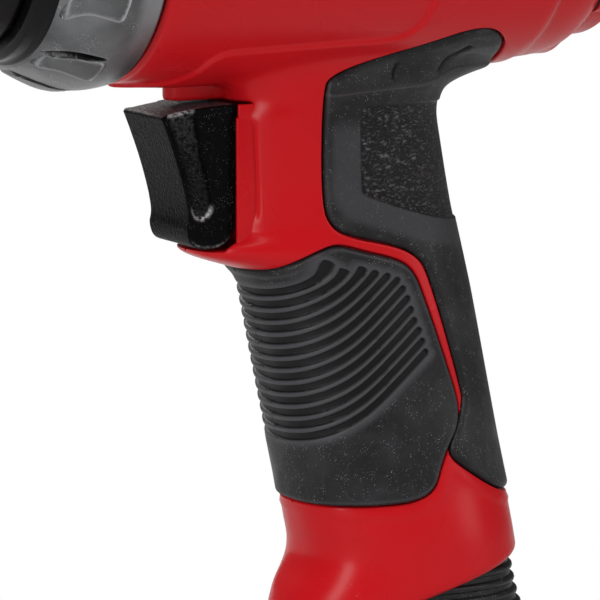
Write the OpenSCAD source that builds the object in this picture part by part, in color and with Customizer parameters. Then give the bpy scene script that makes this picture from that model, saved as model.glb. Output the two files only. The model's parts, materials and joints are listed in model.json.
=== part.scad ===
// Pistol-grip air impact wrench with a half inch square drive.
// Origin: on the drive axis, at the shoulder of the square drive.
// The nose points to -X, +Z is up, and the tool is mirrored about Y = 0. Millimetres.

/* [Square drive and nose] */
// Width across the flats of the square drive
drive_w = 12.7; // [10:0.1:14]
// Length of the square drive
drive_len = 15; // [12:0.5:20]
// Gap between the drive's shoulder and the nose tube
nose_gap = 6; // [4:0.5:9]
// Length of the nose tube that carries the bushing
nose_tube_len = 21.2; // [18:0.2:25]
// Thickness of the nose tube's wall around its bushing
nose_wall = 2.9; // [2.2:0.1:4]
// How far the nose bumper lies inside the case's front rim
bumper_step = 3.8; // [2:0.1:5]

/* [Hammer case] */
// Length of the case from the nose tube to the housing joint
case_len = 25.2; // [24.4:0.2:28]
// How much the case widens from its front rim to the housing joint
case_flare = 4.9; // [4:0.1:5.4]
// How far the case's rear rim lies inside the barrel's surface
case_step = 0.6; // [0.4:0.1:1.6]
// How much the case swells between its two rims
case_swell = 1.6; // [0.4:0.1:2]
// Thickness of the case's front wall
case_wall = 2.4; // [2:0.1:3]
// Thickness of the case's side wall at its front rim
case_side_wall = 5.5; // [4.8:0.1:5.8]
// Number of cast pads around the case
pad_count = 12; // [6:1:14]
// Height of the cast pads
pad_rise = 0.8; // [0.4:0.1:1.2]

/* [Barrel] */
// Radius of the plastic barrel behind the hammer case
barrel_r = 38.2; // [37.6:0.1:40.4]
// Length of the plastic barrel
barrel_len = 104.6; // [102:0.2:115]
// How much smaller in radius the barrel is at its rear
barrel_taper = 0.8; // [0:0.1:1.4]
// Thickness of the two barrel gaskets
gasket_t = 0.8; // [0.4:0.1:1.2]
// Length of the rear cover
cover_len = 11; // [8:0.5:14]
// How far the rear cover lies inside the barrel's surface
cover_step = 6; // [4.6:0.1:7.4]
// How far the long case screws' axes lie inside the barrel's surface
screw_inset = 7.6; // [7.2:0.1:8]
// Radius of the long case screws
screw_r = 1.9; // [1.5:0.1:2]

/* [Hammer mechanism] */
// Width of each swinging hammer
hammer_w = 10; // [9:0.5:11]
// How much smaller in radius the swinging hammers are than their cage
hammer_step = 5; // [4.6:0.1:5.6]
// How far the hammer pins' axes lie inside the cage's rim
pin_inset = 5.2; // [4.8:0.1:5.6]
// Radius of the hammer pins
hammer_pin_r = 3; // [2.4:0.1:3.2]
// How far the anvil's striking lugs stay inside the hammers' outer radius
lug_step = 6.2; // [5.8:0.1:7]
// Height of the striking lugs above the anvil shank
lug_rise = 4.4; // [3.8:0.1:5.2]
// Angle that each striking lug spans
lug_angle = 40; // [30:1:50]

/* [Air motor] */
// Thickness of the barrel's wall around the motor
motor_wall = 13.3; // [12.8:0.1:13.7]
// Mean thickness of the motor cylinder's wall
cylinder_wall = 3.6; // [3.3:0.1:3.9]
// Offset of the eccentric bore
cylinder_offset = 1.7; // [1.4:0.1:1.8]
// Length of the motor cylinder
cylinder_len = 46; // [42:1:48]
// Thickness of each motor end plate
end_plate_t = 10; // [9.6:0.2:11]
// Number of vanes
vane_count = 6; // [4:1:7]
// Thickness of the vanes
vane_t = 2; // [1.5:0.1:2.4]
// Radius of the rotor shaft
shaft_r = 6; // [5.5:0.1:6.2]
// Outer radius of the ball bearings
bearing_r = 14; // [13.6:0.1:14.4]
// Width of the ball bearings
bearing_w = 8; // [7:0.2:8.4]

/* [Handle] */
// Rake of the handle from the vertical, in degrees
handle_rake = 11.7; // [8:0.1:15]
// Place of the handle's centre line under the barrel
handle_x = 104.4; // [103:0.2:108]
// Depth of the trigger bay under the barrel
bay_h = 35; // [34.6:0.2:38]
// Height of the chin below the trigger bay
chin_h = 5; // [4:0.2:7]
// Length of the front grip
grip_len = 50; // [46:1:56]
// Height of the base below the grips, at its rear
base_h = 18; // [15:1:22]
// Slope of the underside of the base, in degrees
base_slope = 20; // [14:1:22]
// Thickness of the soft grips
grip_t = 2.2; // [1.8:0.1:2.6]
// How far the soft grips stand proud of the housing
grip_proud = 0.7; // [0.2:0.1:1]
// Number of grooves in the front grip
groove_count = 13; // [6:1:14]
// Spacing of the grooves in the front grip
groove_pitch = 2.6; // [2.3:0.05:2.7]

/* [Trigger and throttle] */
// Place of the trigger's front lip
trigger_x = 64; // [62:0.2:66]
// Width of the trigger
trigger_w = 18.6; // [16:0.2:19]
// Travel of the trigger
trigger_travel = 5; // [3:0.5:5]
// Radius of the trigger rod
trigger_rod_r = 2.5; // [2:0.1:2.8]
// Radius of the throttle valve stem
stem_r = 2; // [1.5:0.1:2.4]
// Radius of the throttle valve disc
valve_disc_r = 6; // [5.4:0.1:6.2]
// Depth of the trigger rod below the barrel
rod_depth = 18.6; // [17:0.2:20]
// Distance of the valve's line in front of the handle's centre line
valve_front = 8; // [7:0.1:8.4]

/* [Air inlet and exhaust] */
// Radius of the inlet bushing's threaded bore
inlet_bore_r = 6; // [5:0.1:6.6]
// Radius of the part of the inlet bushing that screws into the base
inlet_r = 9.5; // [9:0.1:10.5]
// Width across the flats of the inlet bushing's hexagon
inlet_hex = 22; // [19:0.5:24]
// Radius of each of the two exhaust passages
exhaust_r = 4.2; // [3:0.1:4.4]
// Number of louvre grooves round the exhaust deflector
louvre_count = 5; // [2:1:6]
// Spacing of the louvre grooves
louvre_pitch = 2.75; // [2.4:0.05:3]

/* [Clearances] */
// Radial clearance of running fits
running_gap = 0.05; // [0.03:0.01:0.08]
// Clearance of pieces that sit in a pocket
seat_gap = 0.05; // [0.03:0.01:0.1]
// Clearance beside the trigger
trigger_gap = 0.35; // [0.3:0.05:0.6]

/* [Hidden] */
$fn = 72;
mesh_fn = 32;

// Radii that follow from the barrel's, from the outside inwards.
case_rear_r = barrel_r - case_step;
case_front_r = case_rear_r - case_flare;
chamber_r = case_front_r - case_side_wall;
bumper_r = case_front_r - bumper_step;
cover_r = barrel_r - cover_step;
screw_circle_r = barrel_r - screw_inset;
cylinder_r = barrel_r - motor_wall;
cylinder_bore_r = cylinder_r - cylinder_wall;

// Stations along the drive axis, from the nose to the rear.
case_x = nose_gap + nose_tube_len;
joint_x = case_x + case_len;
chamber_x = case_x + case_wall;
barrel_x = joint_x + gasket_t;
barrel_end_x = barrel_x + barrel_len;
cover_x = barrel_end_x + gasket_t;
cover_end_x = cover_x + cover_len;

// The hammer train.
hammer_gap = 0.4;
cage_plate_t = 3.5;
cage_rear_t = 6.5;
cage_r = chamber_r - 0.6;
hammer_r = cage_r - hammer_step;
hammer_pin_at = cage_r - pin_inset;
lug_r = hammer_r - lug_step;
shank_r = lug_r - lug_rise;
cage_x = chamber_x + hammer_gap;
front_hammer_x = cage_x + cage_plate_t + hammer_gap;
rear_hammer_x = front_hammer_x + hammer_w + hammer_gap;
cage_rear_x = rear_hammer_x + hammer_w + hammer_gap;
cage_end_x = cage_rear_x + cage_rear_t;
anvil_end_x = rear_hammer_x + hammer_w;
hammer_swing = 4;
hammer_bore_r = shank_r + 2;
nose_bore_r = shank_r + 2.5;
nose_tube_r = nose_bore_r + nose_wall;
hammer_pocket_r = lug_r + 2;

// The motor.
motor_x = cage_end_x + 1;
cylinder_x = motor_x + end_plate_t;
cylinder_end_x = cylinder_x + cylinder_len;
motor_end_x = cylinder_end_x + end_plate_t;
rotor_gap = 0.2;
rotor_r = cylinder_bore_r - cylinder_offset - rotor_gap;
rotor_x = cylinder_x + rotor_gap;
rotor_len = cylinder_len - 2 * rotor_gap;
vane_root_r = rotor_r - 9;
bearing_front_x = motor_x + 0.8;
bearing_rear_x = cylinder_end_x + 1.2;
inner_race_r = 8.3;
outer_race_r = 11.5;
ball_r = (outer_race_r - inner_race_r) / 2 - running_gap;
ball_count = 8;
hex_w = 9;
hex_x = cage_rear_x + 1.5;

// The reverse valve behind the motor.
sleeve_r = 14;
spool_r = 10;
spool_stem_r = 4;
sleeve_x = motor_end_x + 0.6;
sleeve_end_x = barrel_end_x - 0.4;
knob_r = 12;
knob_len = 8;
knob_gap = 0.5;
port_x = sleeve_end_x - 9;
port_r = 3.2;

// The handle's own frame: u runs rearward from its raked centre line, and depth runs down from a
// level just above the barrel's underside.
deck_r = barrel_r - 0.8;
rake_run = tan(handle_rake);
function handle_at(u, depth) = [handle_x + depth * rake_run + u, -(deck_r + depth)];

// The depths at which the handle's regions start and end.
trigger_top = 6.5;
grip_top = bay_h + chin_h;
grip_end = grip_top + grip_len;
base_end = grip_end + base_h;
foot_end = base_end + 26;

// How far the tail under the barrel and the heel of the base reach back.
tail_reach = barrel_end_x - handle_x - 7.4;
heel_u = 25.7;

// Outline of the handle: [depth, reach in front], [depth, reach behind] and [depth, half width].
front_reach = [[-11, 24], [5, 24], [7, 26.2], [23, 29.5], [bay_h - 2.5, 31.4], [bay_h - 0.4, 35.4],
    [bay_h + 1.5, 34.6], [bay_h + 3.5, 31], [grip_top + 0.2, 25.8], [grip_top + 3, 24.8],
    [grip_top + 13, 24.4], [grip_end - 18, 23.8], [grip_end - 4.5, 24.6], [grip_end + 9, 25.1],
    [grip_end + 18, 30.3], [grip_end + 25, 33.5], [foot_end + 8, 38]];
rear_reach = [[-11, tail_reach], [-3, tail_reach], [0, tail_reach - 8], [2, 29], [5, 26], [9, 24],
    [20, 23.4], [29, 23.6], [grip_top + 6, 24.7], [grip_end - 11, 25.5], [grip_end, 25.9],
    [foot_end + 8, heel_u]];
half_width = [[-11, 19], [0, 17.5], [9, 16.8], [23, 16.6], [grip_top - 1, 17.4], [grip_top + 13, 17.8],
    [grip_end - 18, 17.8], [grip_end - 2, 18], [grip_end + 9, 19.3], [foot_end + 8, 20]];
section_power = 2.5;
section_points = 28;
smooth_span = 1.2;
ring_depths = concat([-11, -4, -1, 1, 3, 5, 7, 10], [for (i = [1:3]) 10 + i * (bay_h - 13) / 3],
    [bay_h - 1, bay_h + 1, bay_h + 3, grip_top - 0.4, grip_top + 2],
    [for (i = [1:7]) grip_top + 2 + i * (grip_len - 2) / 7],
    [for (i = [1:6]) grip_end + i * (foot_end + 6 - grip_end) / 6]);

// The reach at a depth, with its corners smoothed.
function eased(depth, table) =
    (lookup(depth - smooth_span, table) + 2 * lookup(depth, table)
        + lookup(depth + smooth_span, table)) / 4;
function rounded_cos(t) = sign(cos(t)) * pow(abs(cos(t)), 2 / section_power);
function rounded_sin(t) = sign(sin(t)) * pow(abs(sin(t)), 2 / section_power);
// One level section of the handle, grown outwards by grow.
function handle_ring(depth, grow) = [for (i = [0:section_points - 1])
    let (t = 360 * i / section_points,
        reach = cos(t) > 0 ? eased(depth, rear_reach) : eased(depth, front_reach),
        place = handle_at((reach + grow) * rounded_cos(t), depth))
    [place[0], (eased(depth, half_width) + grow) * rounded_sin(t), place[1]]];

// The trigger bay, the throttle and the air ways.
trigger_len = 18.6;
trigger_climb = 1.7;
trigger_back_x = trigger_x + trigger_len;
bay_end_x = trigger_back_x + trigger_travel + 1;
rod_z = -(deck_r + rod_depth);
rod_end_x = handle_at(-valve_front, rod_depth)[0] - stem_r / cos(handle_rake)
    - trigger_rod_r * rake_run - 0.3;
chamber_top_s = -9;
chamber_bore_r = 8;
seat_s = 18;
seat_len = 6;
disc_s = seat_s + seat_len + 0.1;
disc_t = 2.5;
valve_spring_s = disc_s + disc_t + 0.15;
valve_spring_len = 13;
spring_seat_s = valve_spring_s + valve_spring_len + 0.15;
spring_seat_len = 3;
foot_depth = base_end + (valve_front + heel_u) * tan(base_slope) / (1 + rake_run * tan(base_slope));
spot_r = 13.4;
function down_s(depth) = (depth - rod_depth) / cos(handle_rake);
inlet_face_s = down_s(foot_depth) - spot_r * tan(base_slope - handle_rake) - 0.4;
inlet_top_s = inlet_face_s - 20;
inlet_end_s = down_s(foot_end - 3) + 4;
collar_len = 7;
collar_r = 12.5;
screen_s = inlet_top_s - 15;
exhaust_u = 10;
exhaust_y = 9.4;

// Outlines of the soft grips in the handle's own frame.
front_grip_outline = [[-40, grip_top + 0.6], [-25.2, grip_top + 0.6], [-20.5, grip_top - 2],
    [-13.5, grip_top - 5], [-10.5, grip_top - 5.4], [-5, grip_top - 3.6], [2, grip_top - 1.4],
    [5.4, grip_top + 1.5], [6.4, grip_top + 6], [9.2, grip_top + 22], [10.4, grip_top + 30],
    [9, grip_end - 15], [5.6, grip_end - 11], [3, grip_end - 7], [1, grip_end - 2.8],
    [-2.6, grip_end - 0.6], [-9, grip_end + 0.4], [-40, grip_end + 0.6]];
rear_grip_outline = [[-5.6, -1], [-7.6, 2.5], [-12.2, bay_h - 9], [-11.4, bay_h - 4.4],
    [-8, bay_h - 2.2], [2.8, bay_h + 0.4], [7.4, bay_h + 3], [9.2, bay_h + 7],
    [12.2, grip_end - 23.5], [12, grip_end - 19.5], [6.2, grip_end - 11.5], [6, grip_end - 9],
    [8.4, grip_end - 6.6], [16, grip_end - 1.2], [22, grip_end + 0.8], [40, grip_end + 1.6],
    [46, grip_end - 20], [46, 0.8], [35.6, -3], [33, -6.6], [27, -10], [13, -6]];

// ---------- shapes that repeat ----------

// Turns a profile of [radius, x] points about the drive axis.
module revolved(profile, angle = 360) {
    rotate([0, 90, 0]) rotate_extrude(angle = angle) polygon(profile);
}

// A ring or, with no inner radius, a rod on the drive axis.
module ring_x(x0, x1, outer_r, inner_r = 0) {
    revolved([[inner_r, x0], [outer_r, x0], [outer_r, x1], [inner_r, x1]]);
}

// A rod along X that starts at [x, y, z].
module rod_x(at, length, r) {
    translate(at) rotate([0, 90, 0]) cylinder(h = length, r = r);
}

// Copies at equal angles about the drive axis.
module around(count, start = 0) {
    for (i = [0:count - 1]) rotate([start + i * 360 / count, 0, 0]) children();
}

// Puts a piece on the valve's line, s down from the trigger rod, with +Z pointing down the handle.
module down_valve(s) {
    top = handle_at(-valve_front, rod_depth);
    translate([top[0] + s * sin(handle_rake), 0, top[1] - s * cos(handle_rake)])
        rotate([0, 180 - handle_rake, 0]) children();
}

// Puts a piece on a line along the handle at [u, y], with +Z pointing down the handle.
module down_handle(u, y, depth) {
    at = handle_at(u, depth);
    translate([at[0], y, at[1]]) rotate([0, 180 - handle_rake, 0]) children();
}

// A straight air way between two points of the middle plane, each [x, z].
module air_way(from, to, r) {
    run = to - from;
    translate([from[0], 0, from[1]]) rotate([0, atan2(run[0], run[1]), 0]) cylinder(h = norm(run), r = r);
}

// A closed tube along a list of rings of points.
module skinned(rings) {
    count = len(rings[0]);
    last = len(rings) - 1;
    sides = [for (k = [0:last - 1], i = [0:count - 1]) let (j = (i + 1) % count)
        each [[k * count + i, k * count + j, (k + 1) * count + i],
            [k * count + j, (k + 1) * count + j, (k + 1) * count + i]]];
    start_cap = [[for (i = [count - 1:-1:0]) i]];
    end_cap = [[for (i = [0:count - 1]) last * count + i]];
    polyhedron([for (ring = rings) each ring], concat(sides, start_cap, end_cap));
}

// A coil spring along +Z from the origin.
module coil_spring(r, wire_r, length, turns) {
    steps = 12;
    sides = 5;
    lift = length - 2 * wire_r;
    skinned([for (k = [0:turns * steps]) let (t = 360 * k / steps)
        [for (i = [0:sides - 1]) let (a = -360 * i / sides, reach = r + wire_r * cos(a))
            [reach * cos(t), reach * sin(t), wire_r + lift * k / (turns * steps) + wire_r * sin(a)]]]);
}

// The handle's smooth form, grown outwards by grow.
module handle_form(grow) {
    skinned([for (depth = ring_depths) handle_ring(depth, grow)]);
}

// A side outline in the handle's frame, cut through the whole width.
module handle_cutter(outline, grow = 0) {
    rotate([90, 0, 0]) linear_extrude(height = 80, center = true)
        offset(r = 1.5 + grow, $fn = mesh_fn) offset(delta = -1.5)
            polygon([for (p = outline) handle_at(p[0], p[1])]);
}

// Everything below the sloping underside of the base, moved down by drop.
module below_base(drop = 0) {
    heel = handle_at(heel_u, base_end);
    translate([heel[0], 0, heel[1] - drop]) rotate([0, -base_slope, 0])
        translate([-100, -50, -90]) cube([150, 100, 90]);
}

// The outside of the barrel as a profile, grown outwards by grow.
function barrel_profile(grow) = let (rear_r = barrel_r - barrel_taper)
    [[0, barrel_x], [case_rear_r - 1 + grow, barrel_x],
    [barrel_r - 0.3 + grow, barrel_x + 1.4], [barrel_r + grow, barrel_x + 5],
    [rear_r + grow, barrel_end_x - 12], [rear_r - 0.7 + grow, barrel_end_x - 6],
    [rear_r - 1.8 + grow, barrel_end_x - 2.2], [rear_r - 3.4 + grow, barrel_end_x],
    [0, barrel_end_x]];

// The four long screws' places.
module at_screws() {
    around(4, 45) translate([0, 0, screw_circle_r]) children();
}

// ---------- housing and soft grips ----------

module housing() {
    color("firebrick") difference() {
        union() {
            difference() {
                handle_form(0);
                handle_cutter(front_grip_outline, seat_gap);
                handle_cutter(rear_grip_outline, seat_gap);
            }
            handle_form(grip_proud - grip_t - seat_gap);
            difference() {
                revolved(barrel_profile(0));
                handle_cutter(rear_grip_outline, seat_gap);
            }
            revolved(barrel_profile(grip_proud - grip_t - seat_gap));
            belly();
            keel();
            bay_lips();
        }
        below_base();
        trigger_bay();
        motor_bores();
        throttle_bores();
        for (side = [0, 1]) mirror([0, side, 0]) side_recess();
    }
}

// The barrel's underside swells towards the keel.
module belly() {
    belly_r = 20;
    belly_slope = 4.6;
    start_x = barrel_x + 1.5;
    translate([start_x, 0, belly_r + 0.2 - barrel_r]) rotate([0, 90 + belly_slope, 0])
        cylinder(h = handle_at(0, 0)[0] - 20 - start_x, r = belly_r);
}

// The narrow keel that runs from the front of the handle along the barrel's underside.
module keel() {
    keel_x = trigger_x + 4.7;
    keel_w = 6.6;
    keel_depth = 4;
    nose_r = 1.2;
    translate([0, 0, -(deck_r + keel_depth)]) linear_extrude(height = keel_depth + 8) {
        translate([keel_x + nose_r, -keel_w / 2]) square([20, keel_w]);
        translate([keel_x, nose_r - keel_w / 2]) square([20, keel_w - 2 * nose_r]);
        for (side = [-1, 1]) translate([keel_x + nose_r, side * (keel_w / 2 - nose_r)]) circle(r = nose_r);
    }
}

// The bay that the trigger slides into.
module trigger_bay() {
    top = -(deck_r + trigger_top - trigger_climb - trigger_gap);
    translate([trigger_x - 10, -trigger_w / 2 - trigger_gap, -(deck_r + bay_h)])
        cube([bay_end_x - trigger_x + 10, trigger_w + 2 * trigger_gap, bay_h + top + deck_r]);
}

// The thin lips that reach forward beside the trigger, from the front of the handle.
module bay_lips() {
    lip_t = 0.7;
    lip_top = trigger_top + 1;
    for (side = [0, 1]) mirror([0, side, 0])
        translate([trigger_back_x - 2.3, trigger_w / 2 + trigger_gap - 0.05, -(deck_r + bay_h - 2)])
            cube([5, lip_t, bay_h - 2 - lip_top]);
}

// The shallow panel sunk into each side of the barrel.
module side_recess() {
    panel_x = 70;
    panel_len = 43;
    panel_depth = 0.8;
    low_angle = 40;
    panel_angle = 62;
    rotate([low_angle, 0, 0]) revolved([[barrel_r - panel_depth, panel_x],
        [barrel_r + 4, panel_x], [barrel_r + 4, panel_x + panel_len],
        [barrel_r - panel_depth, panel_x + panel_len]], panel_angle);
}

// Room for the hammer cage, the motor, the reverse valve and the screws.
module motor_bores() {
    ring_x(barrel_x - 1, motor_x, chamber_r + 0.2);
    ring_x(motor_x - 1, motor_end_x + seat_gap, cylinder_r + seat_gap);
    ring_x(motor_end_x - 1, barrel_end_x + 1, sleeve_r + seat_gap);
    at_screws() rod_x([barrel_x - 1, 0, 0], barrel_len + 2, screw_r + 0.2);
    for (side = [-1, 1]) down_handle(exhaust_u, side * exhaust_y, -16) cylinder(h = 160, r = exhaust_r);
    air_way(handle_at(-valve_front, 14), [port_x, -sleeve_r + 1], port_r);
}

// Room for the throttle valve, the inlet bushing and the trigger bush.
module throttle_bores() {
    down_valve(chamber_top_s) cylinder(h = inlet_top_s - chamber_top_s, r = chamber_bore_r);
    down_valve(inlet_top_s - 0.1) cylinder(h = 60, r = inlet_r + seat_gap);
    down_valve(inlet_face_s) cylinder(h = 40, r = spot_r);
    rod_x([bay_end_x - 1, 0, rod_z], 8, 4 + seat_gap);
    at_deflector_screws() translate([0, 0, -0.5]) cylinder(h = 30, r = 1.2 + seat_gap);
}

// A soft grip: the skin of the handle and barrel inside one side outline.
module soft_grip(outline) {
    difference() {
        intersection() {
            union() {
                handle_form(grip_proud);
                revolved(barrel_profile(grip_proud));
            }
            handle_cutter(outline);
        }
        handle_form(grip_proud - grip_t);
        revolved(barrel_profile(grip_proud - grip_t));
    }
}

module front_grip() {
    color("dimgray") difference() {
        soft_grip(front_grip_outline);
        grip_grooves();
    }
}

// The grooves run level round the front of the grip and climb towards its rear edge.
module grip_grooves() {
    groove_w = 1.45;
    groove_depth = 0.7;
    first = grip_top + 5;
    bend = [[-40, 0], [-14, 0], [-9, -1.8], [24, -27.5]];
    difference() {
        rotate([90, 0, 0]) linear_extrude(height = 80, center = true) intersection() {
            union() for (i = [0:groove_count - 1]) let (at = first + i * groove_pitch)
                polygon([for (p = bend) handle_at(p[0], p[1] + at),
                    for (k = [len(bend) - 1:-1:0]) handle_at(bend[k][0], bend[k][1] + at + groove_w)]);
            offset(delta = -3.6) polygon([for (p = front_grip_outline) handle_at(p[0], p[1])]);
        }
        handle_form(grip_proud - groove_depth);
    }
}

module rear_grip() {
    color("dimgray") soft_grip(rear_grip_outline);
}

// ---------- hammer case and nose ----------

// The place of the case's front rim, behind the band that the bumper sits against.
case_rim_x = case_x + 4.6;

// The case's radius at a place between its two rims.
function case_reach(x) = let (t = 90 * (x - case_rim_x) / (joint_x - case_rim_x))
    case_front_r + case_flare * sin(t) + case_swell * sin(2 * t);

module hammer_case() {
    steps = 9;
    pad_start = 23.5;
    color("slategray") difference() {
        union() {
            revolved(concat([[0, nose_gap], [nose_tube_r, nose_gap], [nose_tube_r, case_x],
                [case_front_r - 1.5, case_x], [case_front_r - 1.5, case_rim_x - 0.4]],
                [for (k = [0:steps]) let (x = case_rim_x + k * (joint_x - case_rim_x) / steps)
                    [case_reach(x), x]],
                [[0, joint_x]]));
            around(pad_count, pad_start) cast_pad();
        }
        around(pad_count, pad_start) pad_slit();
        ring_x(nose_gap - 1, joint_x, nose_bore_r);
        ring_x(chamber_x, joint_x + 1, chamber_r);
        at_screws() rod_x([joint_x - 9, 0, 0], 10, screw_r + 0.1);
    }
}

// One raised pad of the casting.
module cast_pad() {
    pad_angle = 14;
    pad_x = case_rim_x + 2;
    pad_len = 11.6;
    revolved(concat([[case_front_r - 1, pad_x]],
        [for (k = [0:3]) let (x = pad_x + 0.4 + k * (pad_len - 0.8) / 3) [case_reach(x) + pad_rise, x]],
        [[case_front_r - 1, pad_x + pad_len]]), pad_angle);
}

// The narrow slit along one edge of a pad, shaped like a lens.
module pad_slit() {
    slit_len = 12.4;
    slit_w = 1.5;
    slit_depth = 1.6;
    lens_r = (slit_len * slit_len + slit_w * slit_w) / (4 * slit_w);
    slit_turn = -10;
    middle_x = case_rim_x + 7.4;
    translate([middle_x, 0, slit_depth - case_reach(middle_x) - 6]) rotate([0, 0, slit_turn])
        linear_extrude(height = 6) intersection() {
            translate([0, lens_r - slit_w / 2]) circle(r = lens_r);
            translate([0, slit_w / 2 - lens_r]) circle(r = lens_r);
        }
}

module case_bushing() {
    color("darkgoldenrod")
        ring_x(nose_gap + 2.6, case_x, nose_bore_r - seat_gap / 2, shank_r + running_gap);
}

module nose_bumper() {
    color("black") revolved([[nose_tube_r + seat_gap, nose_gap + 2], [bumper_r - 5, nose_gap + 2],
        [bumper_r - 1.6, nose_gap + 3.6], [bumper_r, nose_gap + 7], [bumper_r, case_x - 0.3],
        [nose_tube_r + seat_gap, case_x - 0.3]]);
}

module nose_seal() {
    color("black") ring_x(nose_gap + 0.4, nose_gap + 2.4, nose_bore_r - seat_gap / 2, shank_r + 0.2);
}

module case_gasket() {
    color("black") difference() {
        ring_x(joint_x, barrel_x, case_rear_r - 1.2, chamber_r + 0.2);
        at_screws() rod_x([joint_x - 1, 0, 0], 3, screw_r + 0.2);
    }
}

// ---------- anvil and hammers ----------

module anvil() {
    lug_gap = 0.25;
    color("silver") difference() {
        union() {
            translate([-drive_len, -drive_w / 2, -drive_w / 2]) cube([drive_len + 1, drive_w, drive_w]);
            revolved([[0, 0], [shank_r - 1, 0], [shank_r, 1], [shank_r, anvil_end_x], [0, anvil_end_x]]);
            striking_lug(front_hammer_x + lug_gap, hammer_w - 2 * lug_gap);
            rotate([180, 0, 0]) striking_lug(rear_hammer_x + lug_gap, hammer_w - 2 * lug_gap);
        }
        revolved([[drive_w / 2 - 0.3, -10], [drive_w, -10], [drive_w, -7], [drive_w / 2 - 0.3, -7]]);
        revolved([[drive_w / 2 + 0.4, -drive_len - 1], [drive_w, -drive_len - 1],
            [drive_w, -drive_len + drive_w / 2 - 2.8]]);
    }
}

// One of the two lugs that the hammers strike, on the +Y side of the shank.
module striking_lug(x, length) {
    rotate([90 - lug_angle / 2, 0, 0]) revolved([[shank_r - 2, x], [lug_r, x], [lug_r, x + length],
        [shank_r - 2, x + length]], lug_angle);
}

module socket_ring() {
    color("dimgray") difference() {
        ring_x(-9.8, -7.2, drive_w / 2 + 0.9, drive_w / 2 - 0.25);
        translate([-12, -1.5, 0]) cube([6, 3, 12]);
    }
}

module hammer_cage() {
    color("gray") difference() {
        union() {
            ring_x(cage_x, cage_x + cage_plate_t, cage_r);
            ring_x(cage_rear_x, cage_end_x, cage_r);
            for (side = [-90, 90]) rotate([side, 0, 0]) intersection() {
                ring_x(cage_x, cage_end_x, cage_r, hammer_r + 2.4);
                translate([0, -14, 0]) cube([90, 28, 40]);
            }
        }
        ring_x(cage_x - 1, cage_x + cage_plate_t + 1, lug_r + 0.5);
        ring_x(hex_x - 0.1, cage_end_x + 1, hex_w / 2 / cos(30) + 0.1);
        for (side = [-1, 1])
            rod_x([cage_x - 1, 0, side * hammer_pin_at], cage_end_x - cage_x, hammer_pin_r + 0.02);
    }
}

module hammer_pins() {
    color("silver") for (side = [-1, 1])
        rod_x([cage_x + 0.2, 0, side * hammer_pin_at], cage_end_x - cage_x - 1.4, hammer_pin_r);
}

// A swinging hammer that hangs from the upper pin, with its pocket turned to +Y.
module hammer_ring(x) {
    ear_r = cage_r - hammer_pin_at - 0.8;
    swing_room = hammer_pin_r + 2 * hammer_pin_at * sin(hammer_swing) + 0.4;
    difference() {
        union() {
            ring_x(x, x + hammer_w, hammer_r);
            rod_x([x, 0, hammer_pin_at], hammer_w, ear_r);
        }
        ring_x(x - 1, x + hammer_w + 1, hammer_bore_r);
        intersection() {
            ring_x(x - 1, x + hammer_w + 1, hammer_pocket_r);
            translate([x - 2, 4, -9]) cube([hammer_w + 4, 30, 18]);
        }
        rod_x([x - 1, 0, hammer_pin_at], hammer_w + 2, hammer_pin_r + running_gap);
        translate([x - 1, -swing_room, -hammer_r - 5])
            cube([hammer_w + 2, 2 * swing_room, hammer_r + 5 - hammer_pin_at + hammer_pin_r + 0.4]);
    }
}

module front_hammer() {
    color("slategray") hammer_ring(front_hammer_x);
}

module rear_hammer() {
    color("slategray") rotate([180, 0, 0]) hammer_ring(rear_hammer_x);
}

// ---------- air motor ----------

module rotor() {
    color("silver") difference() {
        union() {
            ring_x(rotor_x, rotor_x + rotor_len, rotor_r);
            ring_x(cage_end_x + 0.2, motor_end_x - 0.6, shaft_r);
            rotate([0, 90, 0]) translate([0, 0, hex_x])
                cylinder(h = cage_end_x + 1 - hex_x, r = hex_w / 2 / cos(30), $fn = 6);
        }
        around(vane_count) translate([rotor_x - 1, -vane_t / 2 - running_gap, vane_root_r])
            cube([rotor_len + 2, vane_t + 2 * running_gap, 20]);
    }
}

module rotor_vanes() {
    color("peru") around(vane_count) translate([rotor_x, -vane_t / 2, vane_root_r + 0.1])
        cube([rotor_len, vane_t, rotor_r - vane_root_r - 0.2]);
}

module inner_races() {
    color("silver") for (x = [bearing_front_x, bearing_rear_x])
        ring_x(x, x + bearing_w, inner_race_r, shaft_r + 0.01);
}

module motor_cylinder() {
    color("lightsteelblue") difference() {
        ring_x(cylinder_x, cylinder_end_x, cylinder_r);
        translate([0, 0, cylinder_offset]) ring_x(cylinder_x - 1, cylinder_end_x + 1, cylinder_bore_r);
        for (i = [0:4]) translate([cylinder_x + 7 + 8 * i, 0, -cylinder_r - 2]) cylinder(h = 6, r = 2);
        pin_hole();
    }
}

// The hole of the pin that lines the end plates up with the cylinder.
module pin_hole() {
    rod_x([motor_x + 1, 0, -cylinder_r + 2.6], motor_end_x - motor_x - 2, 1 + seat_gap);
}

module front_end_plate() {
    color("lightsteelblue") difference() {
        ring_x(motor_x, cylinder_x, cylinder_r, shaft_r + 1);
        ring_x(motor_x - 1, bearing_front_x + bearing_w, bearing_r + seat_gap);
        pin_hole();
    }
}

module rear_end_plate() {
    color("lightsteelblue") difference() {
        ring_x(cylinder_end_x, motor_end_x, cylinder_r, shaft_r + 1);
        ring_x(bearing_rear_x, motor_end_x + 1, bearing_r + seat_gap);
        pin_hole();
    }
}

// The outer race and balls of one bearing.
module ball_bearing(x) {
    color("silver") {
        ring_x(x, x + bearing_w, bearing_r, outer_race_r);
        around(ball_count) translate([x + bearing_w / 2, 0, (inner_race_r + outer_race_r) / 2])
            sphere(r = ball_r);
    }
}

module front_bearing() {
    ball_bearing(bearing_front_x);
}

module rear_bearing() {
    ball_bearing(bearing_rear_x);
}

module cylinder_pin() {
    color("silver") rod_x([motor_x + 1.2, 0, -cylinder_r + 2.6], motor_end_x - motor_x - 2.4, 1);
}

// ---------- rear cover and reverse valve ----------

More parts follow.
